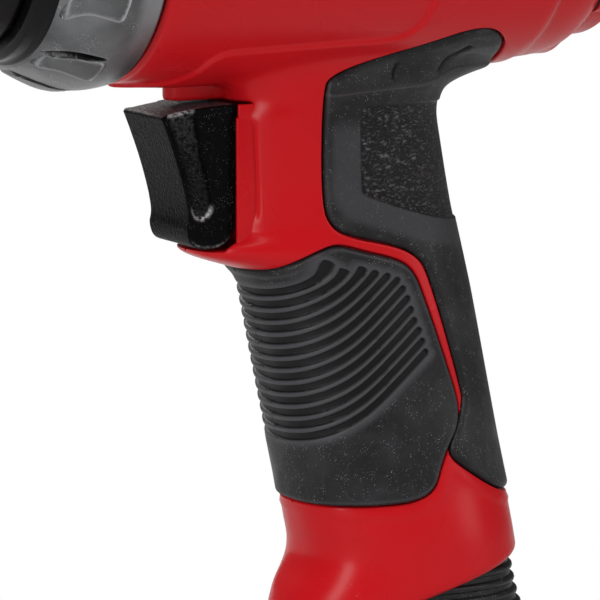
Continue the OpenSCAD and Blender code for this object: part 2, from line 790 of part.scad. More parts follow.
module rear_gasket() {
    color("black") difference() {
        cover_plate(barrel_end_x, cover_x, -0.4);
        ring_x(barrel_end_x - 1, cover_x + 1, sleeve_r + 1);
    }
}

// The cover's outline between two stations: a disc with an ear at each screw.
module cover_plate(x0, x1, grow) {
    ear_r = 3.8;
    difference() {
        union() {
            ring_x(x0, x1, cover_r + grow);
            at_screws() rod_x([x0, 0, 0], x1 - x0, ear_r + grow);
        }
        at_screws() rod_x([x0 - 1, 0, 0], x1 - x0 + 2, screw_r + 0.2);
    }
}

module rear_cover() {
    ear_len = 6;
    head_r = 3.6;
    color("firebrick") difference() {
        union() {
            cover_plate(cover_x, cover_x + ear_len, 0);
            revolved([[0, cover_x + 0.5], [cover_r, cover_x + 0.5], [cover_r - 0.6, cover_x + 3],
                [cover_r - 2.6, cover_x + 6.5], [cover_r - 6.4, cover_x + 9], [knob_r + 6, cover_end_x],
                [0, cover_end_x]]);
        }
        ring_x(cover_end_x - 1.5, cover_end_x + 1, knob_r + 0.6);
        ring_x(cover_x - 1, cover_end_x + 1, spool_stem_r + running_gap);
        at_screws() rod_x([cover_x + ear_len - 2.4, 0, 0], 20, head_r);
        at_screws() rod_x([cover_x - 1, 0, 0], 20, screw_r + 0.2);
    }
}

module case_screws() {
    head_x = cover_x + 3.6;
    color("dimgray") at_screws() {
        rod_x([joint_x - 8.5, 0, 0], head_x - joint_x + 8.5, screw_r);
        difference() {
            rod_x([head_x, 0, 0], 3.2, 3.4);
            translate([head_x + 1.4, 0, 0]) rotate([0, 90, 0]) cylinder(h = 3, r = 1.7, $fn = 6);
        }
    }
}

module reverse_sleeve() {
    color("darkgoldenrod") difference() {
        ring_x(sleeve_x, sleeve_end_x, sleeve_r, spool_r + running_gap);
        for (side = [0, 180]) rotate([side, 0, 0]) translate([port_x, 0, 6]) cylinder(h = 12, r = port_r);
    }
}

module reverse_spool() {
    color("silver") difference() {
        union() {
            ring_x(sleeve_x + 0.5, sleeve_end_x, spool_r);
            ring_x(sleeve_end_x - 1, cover_end_x + knob_len - 2.5, spool_stem_r);
        }
        translate([port_x, -spool_r - 1, 3]) rotate([-90, 0, 0]) cylinder(h = 2 * spool_r + 2, r = 2.4);
        rod_x([cover_end_x + 1, 0, 0], 20, 1.25);
    }
}

module selector_knob() {
    knob_x = cover_end_x - 1.5 + knob_gap;
    wing_w = 5;
    color("black") difference() {
        union() {
            ring_x(knob_x, knob_x + 3, knob_r);
            intersection() {
                ring_x(knob_x, knob_x + knob_len, knob_r);
                translate([knob_x, -wing_w / 2, -knob_r]) cube([knob_len, wing_w, 2 * knob_r]);
            }
            ring_x(knob_x, knob_x + knob_len - 1, spool_stem_r + 2.5);
        }
        ring_x(knob_x - 1, cover_end_x + knob_len - 2.4, spool_stem_r + 0.02);
        ring_x(knob_x, knob_x + knob_len + 1, 1.6);
        ring_x(knob_x + knob_len - 1.2, knob_x + knob_len + 1, 3);
    }
}

module knob_screw() {
    knob_x = cover_end_x - 1.5 + knob_gap;
    color("silver") {
        rod_x([cover_end_x + 1.4, 0, 0], knob_x + knob_len - cover_end_x - 2.6, 1.2);
        rod_x([knob_x + knob_len - 1.2, 0, 0], 1, 2.6);
    }
}

// ---------- trigger and throttle ----------

module trigger() {
    face = [[0, 0], [2, 4.2], [3.8, 9.2], [5, 13.2], [6.2, 20.6], [5.8, 24.4], [7, 26.8], [9.4, 28],
        [13.4, 27.8], [15.6, 26.4], [trigger_len, 26], [trigger_len, -trigger_climb]];
    top = -(deck_r + trigger_top);
    color("black") difference() {
        rotate([90, 0, 0]) linear_extrude(height = trigger_w, center = true)
            polygon([for (p = face) [trigger_x + p[0], top - p[1]]]);
        for (side = [0, 1]) mirror([0, side, 0]) {
            trigger_panel(top);
            trigger_taper(top);
        }
        rod_x([trigger_back_x - 7, 0, rod_z], 8, 4.9);
        rod_x([trigger_back_x - 10, 0, rod_z], 11, trigger_rod_r + seat_gap);
        translate([trigger_back_x - 8.5, 0, rod_z]) rotate([90, 0, 0])
            cylinder(h = trigger_w + 2, r = 0.9 + seat_gap, center = true);
    }
}

// The sunk panel in each side of the trigger, between its front face and a slanting edge.
module trigger_panel(top) {
    panel_depth = 0.8;
    rim = [[1.2, 3], [1.6, -1.4], [2.8, -4], [4.4, -7.6], [5.6, -11.6], [6.4, -16], [6.9, -19.6],
        [7.7, -21.2], [9.6, -21.8], [11, -20.4], [11.6, -18.3], [10, -12.6], [8.7, -7.4], [7.4, 3]];
    rotate([90, 0, 0]) translate([0, 0, trigger_w / 2 - panel_depth]) linear_extrude(height = 4)
        polygon([for (p = rim) [trigger_x + p[0], top + p[1]]]);
}

// The trigger narrows a little towards its lower end.
module trigger_taper(top) {
    translate([trigger_x - 1, -trigger_w / 2, top]) rotate([1.4, 0, 0])
        translate([0, -6, -40]) cube([30, 6, 40]);
}

module trigger_rod() {
    color("silver") difference() {
        rod_x([trigger_back_x - 9.9, 0, rod_z], rod_end_x - trigger_back_x + 9.9, trigger_rod_r);
        translate([trigger_back_x - 8.5, 0, rod_z]) rotate([90, 0, 0])
            cylinder(h = 20, r = 0.95, center = true);
    }
}

module trigger_pin() {
    color("silver") translate([trigger_back_x - 8.5, 0, rod_z]) rotate([90, 0, 0])
        cylinder(h = trigger_w - 2.4, r = 0.9, center = true);
}

module trigger_bush() {
    color("darkgoldenrod") difference() {
        union() {
            rod_x([bay_end_x - 0.9, 0, rod_z], 0.9, 5.5);
            rod_x([bay_end_x - 0.5, 0, rod_z], 4.3, 4);
        }
        rod_x([bay_end_x - 2, 0, rod_z], 8, trigger_rod_r + running_gap);
    }
}

module trigger_spring() {
    spring_x = trigger_back_x - 6.9;
    color("silver") translate([spring_x, 0, rod_z]) rotate([0, 90, 0])
        coil_spring(3.9, 0.45, bay_end_x - 1 - spring_x, 5);
}

module throttle_valve() {
    color("silver") {
        down_valve(-2.6) cylinder(h = disc_s + 3.6, r = stem_r);
        down_valve(disc_s) cylinder(h = disc_t, r = valve_disc_r);
    }
}

module valve_seat() {
    lip_len = 1.2;
    color("darkgoldenrod") difference() {
        down_valve(seat_s) cylinder(h = seat_len, r = chamber_bore_r - seat_gap);
        down_valve(seat_s - 1) cylinder(h = seat_len + 2, r = stem_r + 2.3);
        down_valve(seat_s + lip_len + 0.8) difference() {
            cylinder(h = 2.2, r = chamber_bore_r + 1);
            cylinder(h = 2.2, r = chamber_bore_r - 1.5);
        }
    }
}

module valve_seat_ring() {
    color("black") down_valve(seat_s + 3.1) rotate_extrude()
        translate([chamber_bore_r - 0.75, 0]) circle(r = 0.7, $fn = mesh_fn);
}

module valve_spring() {
    color("silver") down_valve(valve_spring_s) coil_spring(4.6, 0.5, valve_spring_len, 6);
}

module spring_seat() {
    color("darkgoldenrod") down_valve(spring_seat_s) difference() {
        cylinder(h = spring_seat_len, r = chamber_bore_r - seat_gap);
        translate([0, 0, -1]) cylinder(h = spring_seat_len + 2, r = 3.4);
    }
}

// ---------- air inlet and exhaust ----------

module inlet_screen() {
    color("silver") down_valve(screen_s) difference() {
        union() {
            cylinder(h = 14.8, r = 5.6);
            translate([0, 0, 13.4]) cylinder(h = 1.4, r = chamber_bore_r - seat_gap);
        }
        translate([0, 0, 0.8]) cylinder(h = 20, r = 4.8);
        for (level = [0:2], i = [0:5]) translate([0, 0, 3.4 + 3.2 * level])
            rotate([90, 0, 60 * i + 30 * level]) cylinder(h = 8, r = 0.9);
    }
}

module inlet_bushing() {
    screw_in = inlet_face_s - inlet_top_s;
    color("silver") down_valve(inlet_top_s) difference() {
        union() {
            cylinder(h = screw_in + 1, r = inlet_r);
            translate([0, 0, screw_in]) cylinder(h = collar_len, r = collar_r);
            translate([0, 0, screw_in + collar_len])
                cylinder(h = inlet_end_s - inlet_face_s - collar_len, r = inlet_hex / 2 / cos(30), $fn = 6);
        }
        translate([0, 0, -1]) cylinder(h = 60, r = inlet_bore_r - 1.4);
        translate([0, 0, inlet_end_s - inlet_top_s - 14]) cylinder(h = 20, r = inlet_bore_r);
        translate([0, 0, screw_in - 2.4]) difference() {
            cylinder(h = 2, r = inlet_r + 1);
            cylinder(h = 2, r = inlet_r - 1.4);
        }
    }
}

module inlet_seal() {
    color("black") down_valve(inlet_face_s - 1.4) rotate_extrude()
        translate([inlet_r - 0.7, 0]) circle(r = 0.65, $fn = mesh_fn);
}

module exhaust_deflector() {
    inset = 1.4;
    floor_z = -(deck_r + foot_end - 3);
    color("dimgray") difference() {
        intersection() {
            handle_form(-inset);
            below_base(0.1);
            translate([0, -50, floor_z]) cube([200, 100, 100]);
        }
        deflector_grooves(inset, floor_z);
        down_valve(inlet_face_s - 10) cylinder(h = 60, r = spot_r + 0.4);
        for (side = [-1, 1]) down_handle(exhaust_u, side * exhaust_y, base_end - 10)
            cylinder(h = foot_end - base_end + 4, r = exhaust_r);
        at_deflector_screws() cylinder(h = 60, r = 1.2 + seat_gap);
        at_deflector_screws() translate([0, 0, 24]) cylinder(h = 60, r = 2.6);
    }
}

// The louvre grooves run round the deflector below the base.
module deflector_grooves(inset, floor_z) {
    groove_h = 1.3;
    groove_depth = 1.6;
    difference() {
        for (i = [0:louvre_count - 1])
            translate([0, -50, floor_z + 2.4 + i * louvre_pitch]) cube([200, 100, groove_h]);
        handle_form(-inset - groove_depth);
    }
}

// The two screws that hold the deflector, from just above the base's underside downwards.
module at_deflector_screws() {
    for (side = [-1, 1]) down_handle(19.5, side * 7, base_end - 6) children();
}

module deflector_screws() {
    color("dimgray") at_deflector_screws() {
        cylinder(h = 24, r = 1.2);
        translate([0, 0, 24]) cylinder(h = 1.8, r = 2.4);
    }
}

module muffler_felts() {
    color("tan") for (side = [-1, 1]) down_handle(exhaust_u, side * exhaust_y, grip_top + 10)
        cylinder(h = grip_len, r = exhaust_r - seat_gap);
}

housing();
front_grip();
rear_grip();
hammer_case();
case_bushing();
nose_bumper();
nose_seal();
case_gasket();
anvil();
socket_ring();
hammer_cage();
hammer_pins();
front_hammer();
rear_hammer();
rotor();
rotor_vanes();
inner_races();
motor_cylinder();
front_end_plate();
rear_end_plate();
front_bearing();
rear_bearing();
cylinder_pin();
rear_gasket();
rear_cover();
case_screws();
reverse_sleeve();
reverse_spool();
selector_knob();
knob_screw();
trigger();
trigger_rod();
trigger_pin();
trigger_bush();
trigger_spring();
throttle_valve();
valve_seat();
valve_seat_ring();
valve_spring();
spring_seat();
inlet_screen();
inlet_bushing();
inlet_seal();
exhaust_deflector();
deflector_screws();
muffler_felts();
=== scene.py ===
import json
import math

import bmesh
import bpy
import numpy as np
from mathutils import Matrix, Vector
from mathutils.bvhtree import BVHTree
from mathutils.geometry import delaunay_2d_cdt


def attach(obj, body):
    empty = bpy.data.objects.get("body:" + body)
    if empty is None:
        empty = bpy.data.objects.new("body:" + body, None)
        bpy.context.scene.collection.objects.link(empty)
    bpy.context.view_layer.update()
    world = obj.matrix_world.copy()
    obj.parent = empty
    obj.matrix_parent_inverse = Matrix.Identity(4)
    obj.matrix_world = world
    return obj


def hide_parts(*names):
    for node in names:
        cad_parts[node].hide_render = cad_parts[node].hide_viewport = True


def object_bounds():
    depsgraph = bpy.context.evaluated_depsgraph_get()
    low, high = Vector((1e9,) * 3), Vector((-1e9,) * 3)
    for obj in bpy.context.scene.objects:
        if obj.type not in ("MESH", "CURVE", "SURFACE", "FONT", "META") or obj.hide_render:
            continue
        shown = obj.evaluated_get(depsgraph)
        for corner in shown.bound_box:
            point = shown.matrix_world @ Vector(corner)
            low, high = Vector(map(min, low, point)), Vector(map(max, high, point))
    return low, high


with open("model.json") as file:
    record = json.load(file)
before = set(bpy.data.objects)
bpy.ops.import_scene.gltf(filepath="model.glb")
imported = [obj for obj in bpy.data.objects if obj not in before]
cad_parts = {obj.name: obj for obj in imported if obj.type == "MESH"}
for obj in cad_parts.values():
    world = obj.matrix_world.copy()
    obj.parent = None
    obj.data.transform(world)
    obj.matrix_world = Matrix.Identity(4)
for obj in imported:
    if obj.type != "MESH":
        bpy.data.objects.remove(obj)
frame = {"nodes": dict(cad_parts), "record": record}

MM = 0.001
START_BOX = [list(corner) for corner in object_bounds()]
SCENE = bpy.context.scene

# ---------- sizes in millimetres, the same as the CAD model's ----------
BARREL_R, DECK = 38.2, 37.4
HANDLE_X = 104.4
RAKE = math.tan(math.radians(11.7))
POWER = 2.5
CASE_X, RIM_X, JOINT_X, BARREL_X, BARREL_END = 27.2, 31.8, 52.4, 53.2, 157.8
HEEL, BASE_SLOPE, FOOT_Z = (150.5, -140.3), 0.28, -168.4
PROUD = 0.7
FRONT_REACH = [(-11, 24), (5, 24), (7, 26.2), (23, 29.5), (32.2, 31.6), (34.6, 39.2), (36.4, 38.8), (38.4, 34),
               (40.4, 26.4), (43, 25.2), (53, 25.0), (72, 24.7), (85.5, 24.7), (96, 24.7), (99.7, 24.5), (103, 25.3),
               (106.3, 27.4), (109.6, 30.2), (115, 33.0), (142, 38)]
REAR_REACH = [(-11, 46), (-3, 44), (0, 36), (2, 27.6), (5, 25), (9, 23.6), (20, 23.3), (29, 23.1), (46, 23.7),
              (79, 23.8), (90, 24.1), (100, 23.9), (106, 23.6), (112, 23.6), (124, 25.4), (142, 25.7)]
HALF_WIDTH = [(-11, 19), (0, 17.5), (9, 16.8), (23, 16.6), (39, 17.4), (53, 17.8), (72, 17.8), (88, 18),
              (99, 19.3), (142, 20)]
BARREL_SHAPE = [(53.2, 36.9), (54.2, 38.0), (58.2, 38.2), (144.4, 37.5), (145.4, 37.3), (146.0, 36.7),
                (151.8, 36.2), (155.6, 35.4), (157.8, 34.0)]
FRONT_OUTLINE = [(-40, 40.6), (-25.2, 40.6), (-20.5, 38), (-13.5, 35), (-10.5, 34.6), (-5, 36.4), (3, 38.7),
                 (5.4, 41.5), (6.4, 46), (9.2, 62), (10.4, 70), (9, 75), (5.6, 79), (3, 83), (1, 87.2),
                 (-2.6, 89.4), (-9, 90.4), (-40, 90.6)]
REAR_OUTLINE = [(40, 91.6), (22, 90.8), (16, 88.8), (8.4, 83.4), (6, 81), (6.2, 78.5), (12, 70.5), (12.2, 66.5),
                (9.2, 42), (7.4, 38), (2.8, 35.4), (-8, 32.8), (-11.4, 30.6), (-12.2, 26), (-7.6, 2.5),
                (-5.6, -1), (13, -6), (28, -10.7), (34.2, -7.2), (35.8, -2.6), (37, 0.8)]

# ---------- the photograph's view: camera and image points ----------

AZIMUTH, ELEVATION, FAR = math.radians(-28.0), math.radians(8.5), 1.1
AIM = Vector((0.1005, 0, -0.0856))
LENS, SENSOR, SHIFT = 313.5, 36.0, (0.0, 0.0)
PHOTO_W, PHOTO_H = 600, 600
back = Vector((math.sin(AZIMUTH) * math.cos(ELEVATION), -math.cos(AZIMUTH) * math.cos(ELEVATION),
               math.sin(ELEVATION)))
camera = bpy.data.objects.new("camera", bpy.data.cameras.new("camera"))
SCENE.collection.objects.link(camera)
camera.location = AIM + back * FAR
camera.rotation_mode = "QUATERNION"
camera.rotation_quaternion = (-back).to_track_quat("-Z", "Y")
camera.data.sensor_width, camera.data.lens = SENSOR, LENS
camera.data.shift_x, camera.data.shift_y = SHIFT
camera.data.clip_start, camera.data.clip_end = 0.05, 30
SCENE.camera = camera

# what the photograph shows of each thing, in its own pixels
IMAGE_POINTS = {
    "trigger_front_top": (124, 107), "trigger_front_low": (150, 217), "trigger_bottom": (200, 248),
    "keel_front": (164, 94), "case_joint": (122, 73.3), "case_front_low": (55, 92), "chin_front": (192, 257),
    "front_grip_top": (320, 252), "front_grip_right": (460, 410), "front_grip_bottom": (360, 507),
    "first_groove": (298, 290), "patch_top": (400, 103.5), "patch_low": (400, 207), "rear_grip_side": (480, 350),
    "rear_grip_tip": (503, 41), "base_right": (513, 545), "base_left": (281, 496),
    "tail_groove_left": (394, 71), "tail_groove_right": (449, 56)}
EYE = np.array(camera.location) / MM
AXES = np.array(camera.rotation_quaternion.to_matrix())
PHOTO_L = max(PHOTO_W, PHOTO_H)


def seen_place(point, tree):
    """The place in millimetres that an image point shows on a tree; a miss takes the place nearest the ray."""
    x, y = point
    way = Vector(AXES @ (x - PHOTO_W / 2 + SHIFT[0] * PHOTO_L, PHOTO_H / 2 - y + SHIFT[1] * PHOTO_L,
                         -PHOTO_L * LENS / SENSOR)).normalized()
    eye = Vector(EYE)
    hit = tree.ray_cast(eye, way)[0]
    if hit is None:
        found = [tree.find_nearest(eye + way * run) for run in np.linspace(900, 1300, 801)]
        hit = min(found, key=lambda near: near[3])[0]
    return np.array(hit)


def shown_at(places):
    """Where places in millimetres show in the photograph's frame."""
    across, up, far = ((np.asarray(places) - EYE) @ AXES).T
    size = PHOTO_L * LENS / SENSOR
    return np.stack([PHOTO_W / 2 - SHIFT[0] * PHOTO_L - across / far * size,
                     PHOTO_H / 2 + SHIFT[1] * PHOTO_L + up / far * size], -1)


# ---------- curves and fields ----------


def eased(pairs, span):
    """A table of (place, value) as a smooth function of the place."""
    at = np.arange(pairs[0][0] - 8, pairs[-1][0] + 8, 0.1)
    value = np.interp(at, *zip(*pairs))
    reach = int(span * 30)
    weight = np.exp(-0.5 * (np.arange(-reach, reach + 1) * 0.1 / span) ** 2)
    smooth = np.convolve(np.pad(value, reach, "edge"), weight / weight.sum(), "valid")
    return lambda x: np.interp(x, at, smooth)


front_reach = eased(FRONT_REACH, 1.0)
rear_reach = eased(REAR_REACH, 1.3)
half_width = eased(HALF_WIDTH, 2.0)
barrel_radius = eased(BARREL_SHAPE, 0.35)
SWELL_R, SWELL_AT, SWELL_SLOPE = 20.0, 37.88, 0.08


def step(x, low, high):
    """0 below low and 1 above high, smooth between."""
    t = np.clip((x - low) / (high - low), 0, 1)
    return t * t * (3 - 2 * t)


def fillet(a, b, size):
    """What a fillet of a size adds where two forms meet."""
    near = np.clip(size - np.abs(a - b), 0, None)
    return near * near / (4 * size)


def unit(ways):
    """Directions scaled to a length of 1."""
    return ways / np.maximum(np.linalg.norm(ways, axis=-1, keepdims=True), 1e-9)


def around(x, radius, angle):
    """Places on a form turned about the drive axis, at an angle from below on the near side."""
    return np.stack([x, -radius * np.sin(angle), -radius * np.cos(angle)], -1)


def ridge(x, middle, half):
    """1 at the middle of a soft ridge, falling away to both sides."""
    return np.exp(-((x - middle) / half) ** 2)


def round_over(distance, radius):
    """How far a rounded edge has dropped at a distance inside the edge."""
    t = np.clip(1 - distance / radius, 0, 1)
    return radius * (1 - np.sqrt(1 - t * t))


def from_handle(u, depth):
    """The side view place [x, z] of a place in the handle's own frame."""
    return np.array([HANDLE_X + depth * RAKE + u, -(DECK + depth)])


def handle_section(t, depth):
    """A point of the handle's section at angle t, from 0 at the rear to pi in front, on the near side."""
    reach = np.where(np.cos(t) > 0, rear_reach(depth), front_reach(depth))
    c, s = np.cos(t), np.sin(t)
    u = reach * np.sign(c) * np.abs(c) ** (2 / POWER)
    y = -half_width(depth) * np.abs(s) ** (2 / POWER)
    return np.stack([HANDLE_X + depth * RAKE + u, y, -(DECK + depth)], -1)


def barrel_reach(x, a):
    """The barrel's radius at an angle from below, with the swell of its underside."""
    run = np.minimum(x - BARREL_X, 18)
    middle = SWELL_AT + (run - np.clip(run - 12, 0, 6) ** 2 / 12) * SWELL_SLOPE - SWELL_R
    below = np.abs(a) < 1.2
    swell = middle * np.cos(a) + np.sqrt(np.maximum(SWELL_R ** 2 - (middle * np.sin(a)) ** 2, 0))
    plain = barrel_radius(x)
    swell = np.where(below, swell, 0) - 3 * step(x, 82, 90) - 1.2 * step(BARREL_X + 1.6 - x, 0, 1.6)
    return np.maximum(plain, swell) + fillet(plain, swell, 0.8)


def body_field(p):
    """Below 0 inside the handle and barrel, which blend with a small fillet."""
    x, y, z = p[..., 0], p[..., 1], p[..., 2]
    depth = -z - DECK
    u = x - HANDLE_X - depth * RAKE
    reach = np.where(u > 0, rear_reach(depth), front_reach(depth))
    rho = (np.abs(u / reach) ** POWER + np.abs(y / half_width(depth)) ** POWER) ** (1 / POWER)
    handle = np.hypot(u, y) * (1 - 1 / np.maximum(rho, 1e-6))
    barrel = np.hypot(y, z) - barrel_reach(x, np.arctan2(-y, -z))
    return np.minimum(handle, barrel) - fillet(handle, barrel, 3.0)


def in_parts(points, work):
    """Runs work on a few thousand points at a time."""
    return np.concatenate([work(points[k:k + 4000, None]) for k in range(0, len(points), 4000)])


def distance_to(points, line):
    """The distance of each 2-D point from a line of points."""
    a = np.asarray(line, float)[:-1]
    run = np.diff(np.asarray(line, float), axis=0)
    size = np.maximum((run ** 2).sum(1), 1e-12)

    def nearest(p):
        t = np.clip(((p - a) * run).sum(2) / size, 0, 1)[..., None]
        return np.sqrt((((p - a - t * run) ** 2).sum(2)).min(1))

    return in_parts(points, nearest)


def inside(points, loop):
    """True for each 2-D point inside a closed loop."""
    (ax, ay), (bx, by) = np.asarray(loop, float).T, np.roll(loop, -1, 0).T
    rise = np.where(by == ay, 1e-12, by - ay)

    def crossed(p):
        x, y = p[..., 0], p[..., 1]
        return (((ay > y) != (by > y)) & (x < ax + (y - ay) * (bx - ax) / rise)).sum(1) % 2 == 1

    return in_parts(points, crossed)


def signed(points, loop):
    """Distance inside a closed loop, below 0 outside it."""
    gap = distance_to(points, np.vstack([loop, loop[:1]]))
    return np.where(inside(points, loop), gap, -gap)


def spaced(line, gap, closed=False):
    """The line with its points at equal gaps."""
    line = np.asarray(line, float)
    if closed:
        line = np.vstack([line, line[:1]])
    run = np.concatenate([[0], np.cumsum(np.linalg.norm(np.diff(line, axis=0), axis=1))])
    count = max(int(round(run[-1] / gap)), 2)
    at = np.linspace(0, run[-1], count + 1)
    out = np.stack([np.interp(at, run, line[:, k]) for k in range(line.shape[1])], -1)
    return out[:-1] if closed else out


def rounded(line, times):
    """The open line with its corners cut smooth."""
    line = np.asarray(line, float)
    for _ in range(times):
        a, b = line[:-1], line[1:]
        cut = np.stack([a * 0.75 + b * 0.25, a * 0.25 + b * 0.75], 1).reshape(-1, line.shape[1])
        line = np.vstack([line[:1], cut[1:-1], line[-1:]])
    return line


def smooth_line(corners, gap, times=3):
    """The line through some corners, smoothed, with its points at equal gaps."""
    return spaced(rounded(corners, times), gap)


def beside(line, gap, closed=False):
    """The line moved sideways by gap, to its left."""
    run = unit(np.roll(line, -1, 0) - np.roll(line, 1, 0) if closed else np.gradient(line, axis=0))
    return line + gap * np.stack([-run[:, 1], run[:, 0]], -1)


def alongside(line, *gaps):
    """Copies of a line at several gaps beside it."""
    return [beside(line, gap) for gap in gaps]


def inward(line, loop):
    """1 where the left of a line is inside a loop, otherwise -1."""
    return 1 if inside(beside(line, 0.5)[len(line) // 2][None], loop)[0] else -1


def bands(rows, count, closed=True):
    """Faces between rows of points that follow one another; a closed row meets its own start."""
    steps = count if closed else count - 1
    return [(k * count + i, k * count + (i + 1) % count, (k + 1) * count + (i + 1) % count, (k + 1) * count + i)
            for k in range(rows - 1) for i in range(steps)]


def full_ring(near):
    """The ring round the tool whose near half is given from one end of the middle line to the other."""
    return np.vstack([near, (near * (1, -1, 1))[::-1][1:-1]])


# ---------- the skin of the handle as a grid over (round, down) ----------

angle_fine = np.linspace(0, math.pi, 4001)
edge_fine = handle_section(angle_fine, np.full(4001, 60.0))
round_fine = np.concatenate([[0], np.cumsum(np.linalg.norm(np.diff(edge_fine, axis=0), axis=1))])
ROUND_END = round_fine[-1]
CELL = 0.25
FAN_TOP, FAN_START, DOWN_END = -18.0, 5.0, 128.0
columns = int(ROUND_END / CELL) + 1
round_at = np.linspace(0, ROUND_END, columns)
angle_at = np.interp(round_at, round_fine, angle_fine)


def fan_rows():
    """Follows the skin up the handle, through the fillet and out over the barrel."""
    wall = handle_section(angle_at, np.full(columns, FAN_START))
    c, s = np.abs(np.cos(angle_at)), np.abs(np.sin(angle_at))
    reach = np.where(np.cos(angle_at) > 0, rear_reach(FAN_START), front_reach(FAN_START))
    out = np.stack([np.sign(np.cos(angle_at)) * c ** 1.2 / reach, -(s ** 1.2) / half_width(FAN_START)], -1)
    out = unit(out)
    out[0], out[-1] = (1, 0), (-1, 0)
    way = np.concatenate([out, np.zeros((columns, 1))], 1)
    up = np.array([0, 0, 1.0])
    place, rows = wall.copy(), [wall.copy()]
    eps = 0.02

    def slope(p):
        return [(body_field(p + eps * to) - body_field(p - eps * to)) / (2 * eps) for to in (way, up)]

    for _ in range(int(round((FAN_START - FAN_TOP) / CELL))):
        gq, gz = slope(place)
        size = np.hypot(gq, gz)
        place = place + CELL * ((-gz / size)[:, None] * way + (gq / size)[:, None] * up)
        for _ in range(2):
            gq, gz = slope(place)
            miss = body_field(place) / (gq * gq + gz * gz)
            place = place - (miss * gq)[:, None] * way - (miss * gz)[:, None] * up
        rows.append(place.copy())
    return rows[1:][::-1]


down_at = np.arange(FAN_TOP, DOWN_END + 0.01, CELL)
fan = fan_rows()
GRID = np.stack(fan + [handle_section(angle_at, np.full(columns, d)) for d in down_at[len(fan):]], 1)
GRID[0, :, 1] = GRID[-1, :, 1] = 0.0
NORMAL = unit(np.cross(np.gradient(GRID, axis=1), np.gradient(GRID, axis=0)))
NORMAL[0, :, 1] = NORMAL[-1, :, 1] = 0.0
NORMAL = unit(NORMAL)
if (NORMAL[columns // 2, 200] @ np.array([0, -1, 0])) < 0:
    NORMAL = -NORMAL


def look_up(table, places):
    """The grid's value at (round, down) places."""
    i = np.clip(places[:, 0] / round_at[1], 0, columns - 1.0001)
    j = np.clip((places[:, 1] - FAN_TOP) / CELL, 0, len(down_at) - 1.0001)
    i0, j0 = i.astype(int), j.astype(int)
    fi, fj = (i - i0)[:, None], (j - j0)[:, None]
    return ((table[i0, j0] * (1 - fi) + table[i0 + 1, j0] * fi) * (1 - fj)
            + (table[i0, j0 + 1] * (1 - fi) + table[i0 + 1, j0 + 1] * fi) * fj)


def on_skin(places, lift=PROUD):
    """Where (round, down) places are in space, lifted off the skin."""
    return look_up(GRID, places) + look_up(NORMAL, places) * np.reshape(lift, (-1, 1))


GRID_STEP = 2
coarse = GRID[::GRID_STEP, ::GRID_STEP]
ci, cj = coarse.shape[:2]
grid_tree = BVHTree.FromPolygons([Vector(p) for p in coarse.reshape(-1, 3)], bands(ci, cj, False))


def to_domain(hit, face):
    """(round, down) of a point on a face of the grid."""
    i, j = divmod(face, cj - 1)
    corner = coarse[i, j]
    a, b = coarse[i + 1, j] - corner, coarse[i, j + 1] - corner
    part, *_ = np.linalg.lstsq(np.stack([a, b], 1), np.array(hit) - corner, rcond=None)
    return (round_at[1] * GRID_STEP * (i + part[0]), FAN_TOP + CELL * GRID_STEP * (j + part[1]))


def from_side(places):
    """Side view places [x, z] as (round, down) on the near side; one beyond the edge goes to the middle line."""
    out = []
    for x, z in places:
        hit, _, face, _ = grid_tree.ray_cast(Vector((x, -70, z)), Vector((0, 1, 0)))
        if hit is not None and hit.y < 0.5:
            out.append(to_domain(hit, face))
            continue
        column = 0 if x > HANDLE_X + (-z - DECK) * RAKE else columns - 1
        edge = GRID[column][:, [0, 2]]
        nearest = int(np.argmin(((edge - (x, z)) ** 2).sum(1)))
        out.append((round_at[column], down_at[nearest]))
    return np.array(out)


def from_space(points):
    """Points in space as the nearest (round, down)."""
    found = [grid_tree.find_nearest(Vector(p)) for p in points]
    return np.array([to_domain(hit, face) for hit, _, face, _ in found])


def handle_line(places):
    """A line in the handle's frame, smoothed and laid on the skin."""
    return from_side([from_handle(u, d) for u, d in smooth_line(places, 0.5)])


def off_middle(line):
    """True for each (round, down) place that is not on the middle line."""
    return (line[:, 0] > 1e-6) & (line[:, 0] < ROUND_END - 1e-6)


def grip_loop(places):
    """The part of a grip's outline on the near side, closed along the middle line."""
    line = handle_line(places)
    free = np.flatnonzero(off_middle(line))
    return spaced(line[max(free[0] - 1, 0):free[-1] + 2], 0.5)


front_line = grip_loop(FRONT_OUTLINE)
rear_line = grip_loop(REAR_OUTLINE)

# ---------- meshes from flat sheets ----------


def sheet(loop, extra, gap):
    """A flat mesh inside loop, dense at the extra points and as fine as gap elsewhere: points and triangles."""
    loop, extra = np.asarray(loop, float), np.vstack(extra)
    low, high = loop.min(0), loop.max(0)
    raster = 0.2
    extra = extra[inside(extra, loop) & (distance_to(extra, np.vstack([loop, loop[:1]])) > 0.012)]
    wide = np.zeros(((high - low) / raster).astype(int) + 20, bool)

    def cells(points):
        return tuple(np.clip(((points - low) / raster).astype(int) + 8, 0, np.array(wide.shape) - 1).T)

    wide[cells(loop)] = wide[cells(extra)] = True
    for _ in range(int(0.62 * gap / raster)):
        wide[1:] |= wide[:-1].copy()
        wide[:-1] |= wide[1:].copy()
        wide[:, 1:] |= wide[:, :-1].copy()
        wide[:, :-1] |= wide[:, 1:].copy()
    rows = np.arange(low[1], high[1] + gap, gap * 0.866)
    hexes = np.array([(x + (k % 2) * gap / 2, y) for k, y in enumerate(rows)
                      for x in np.arange(low[0], high[0] + gap, gap)])
    hexes = hexes[~wide[cells(hexes)]]
    points = np.vstack([loop, extra, hexes[inside(hexes, loop)]])
    count = len(loop)
    edges = [(i, (i + 1) % count) for i in range(count)]
    verts, _, faces, *_ = delaunay_2d_cdt([Vector(p) for p in points], edges, [], 0, 1e-5)
    verts = np.array([v[:] for v in verts])
    faces = np.array([f for f in faces if len(f) == 3])
    return verts, faces[inside(verts[faces].mean(1), loop)]


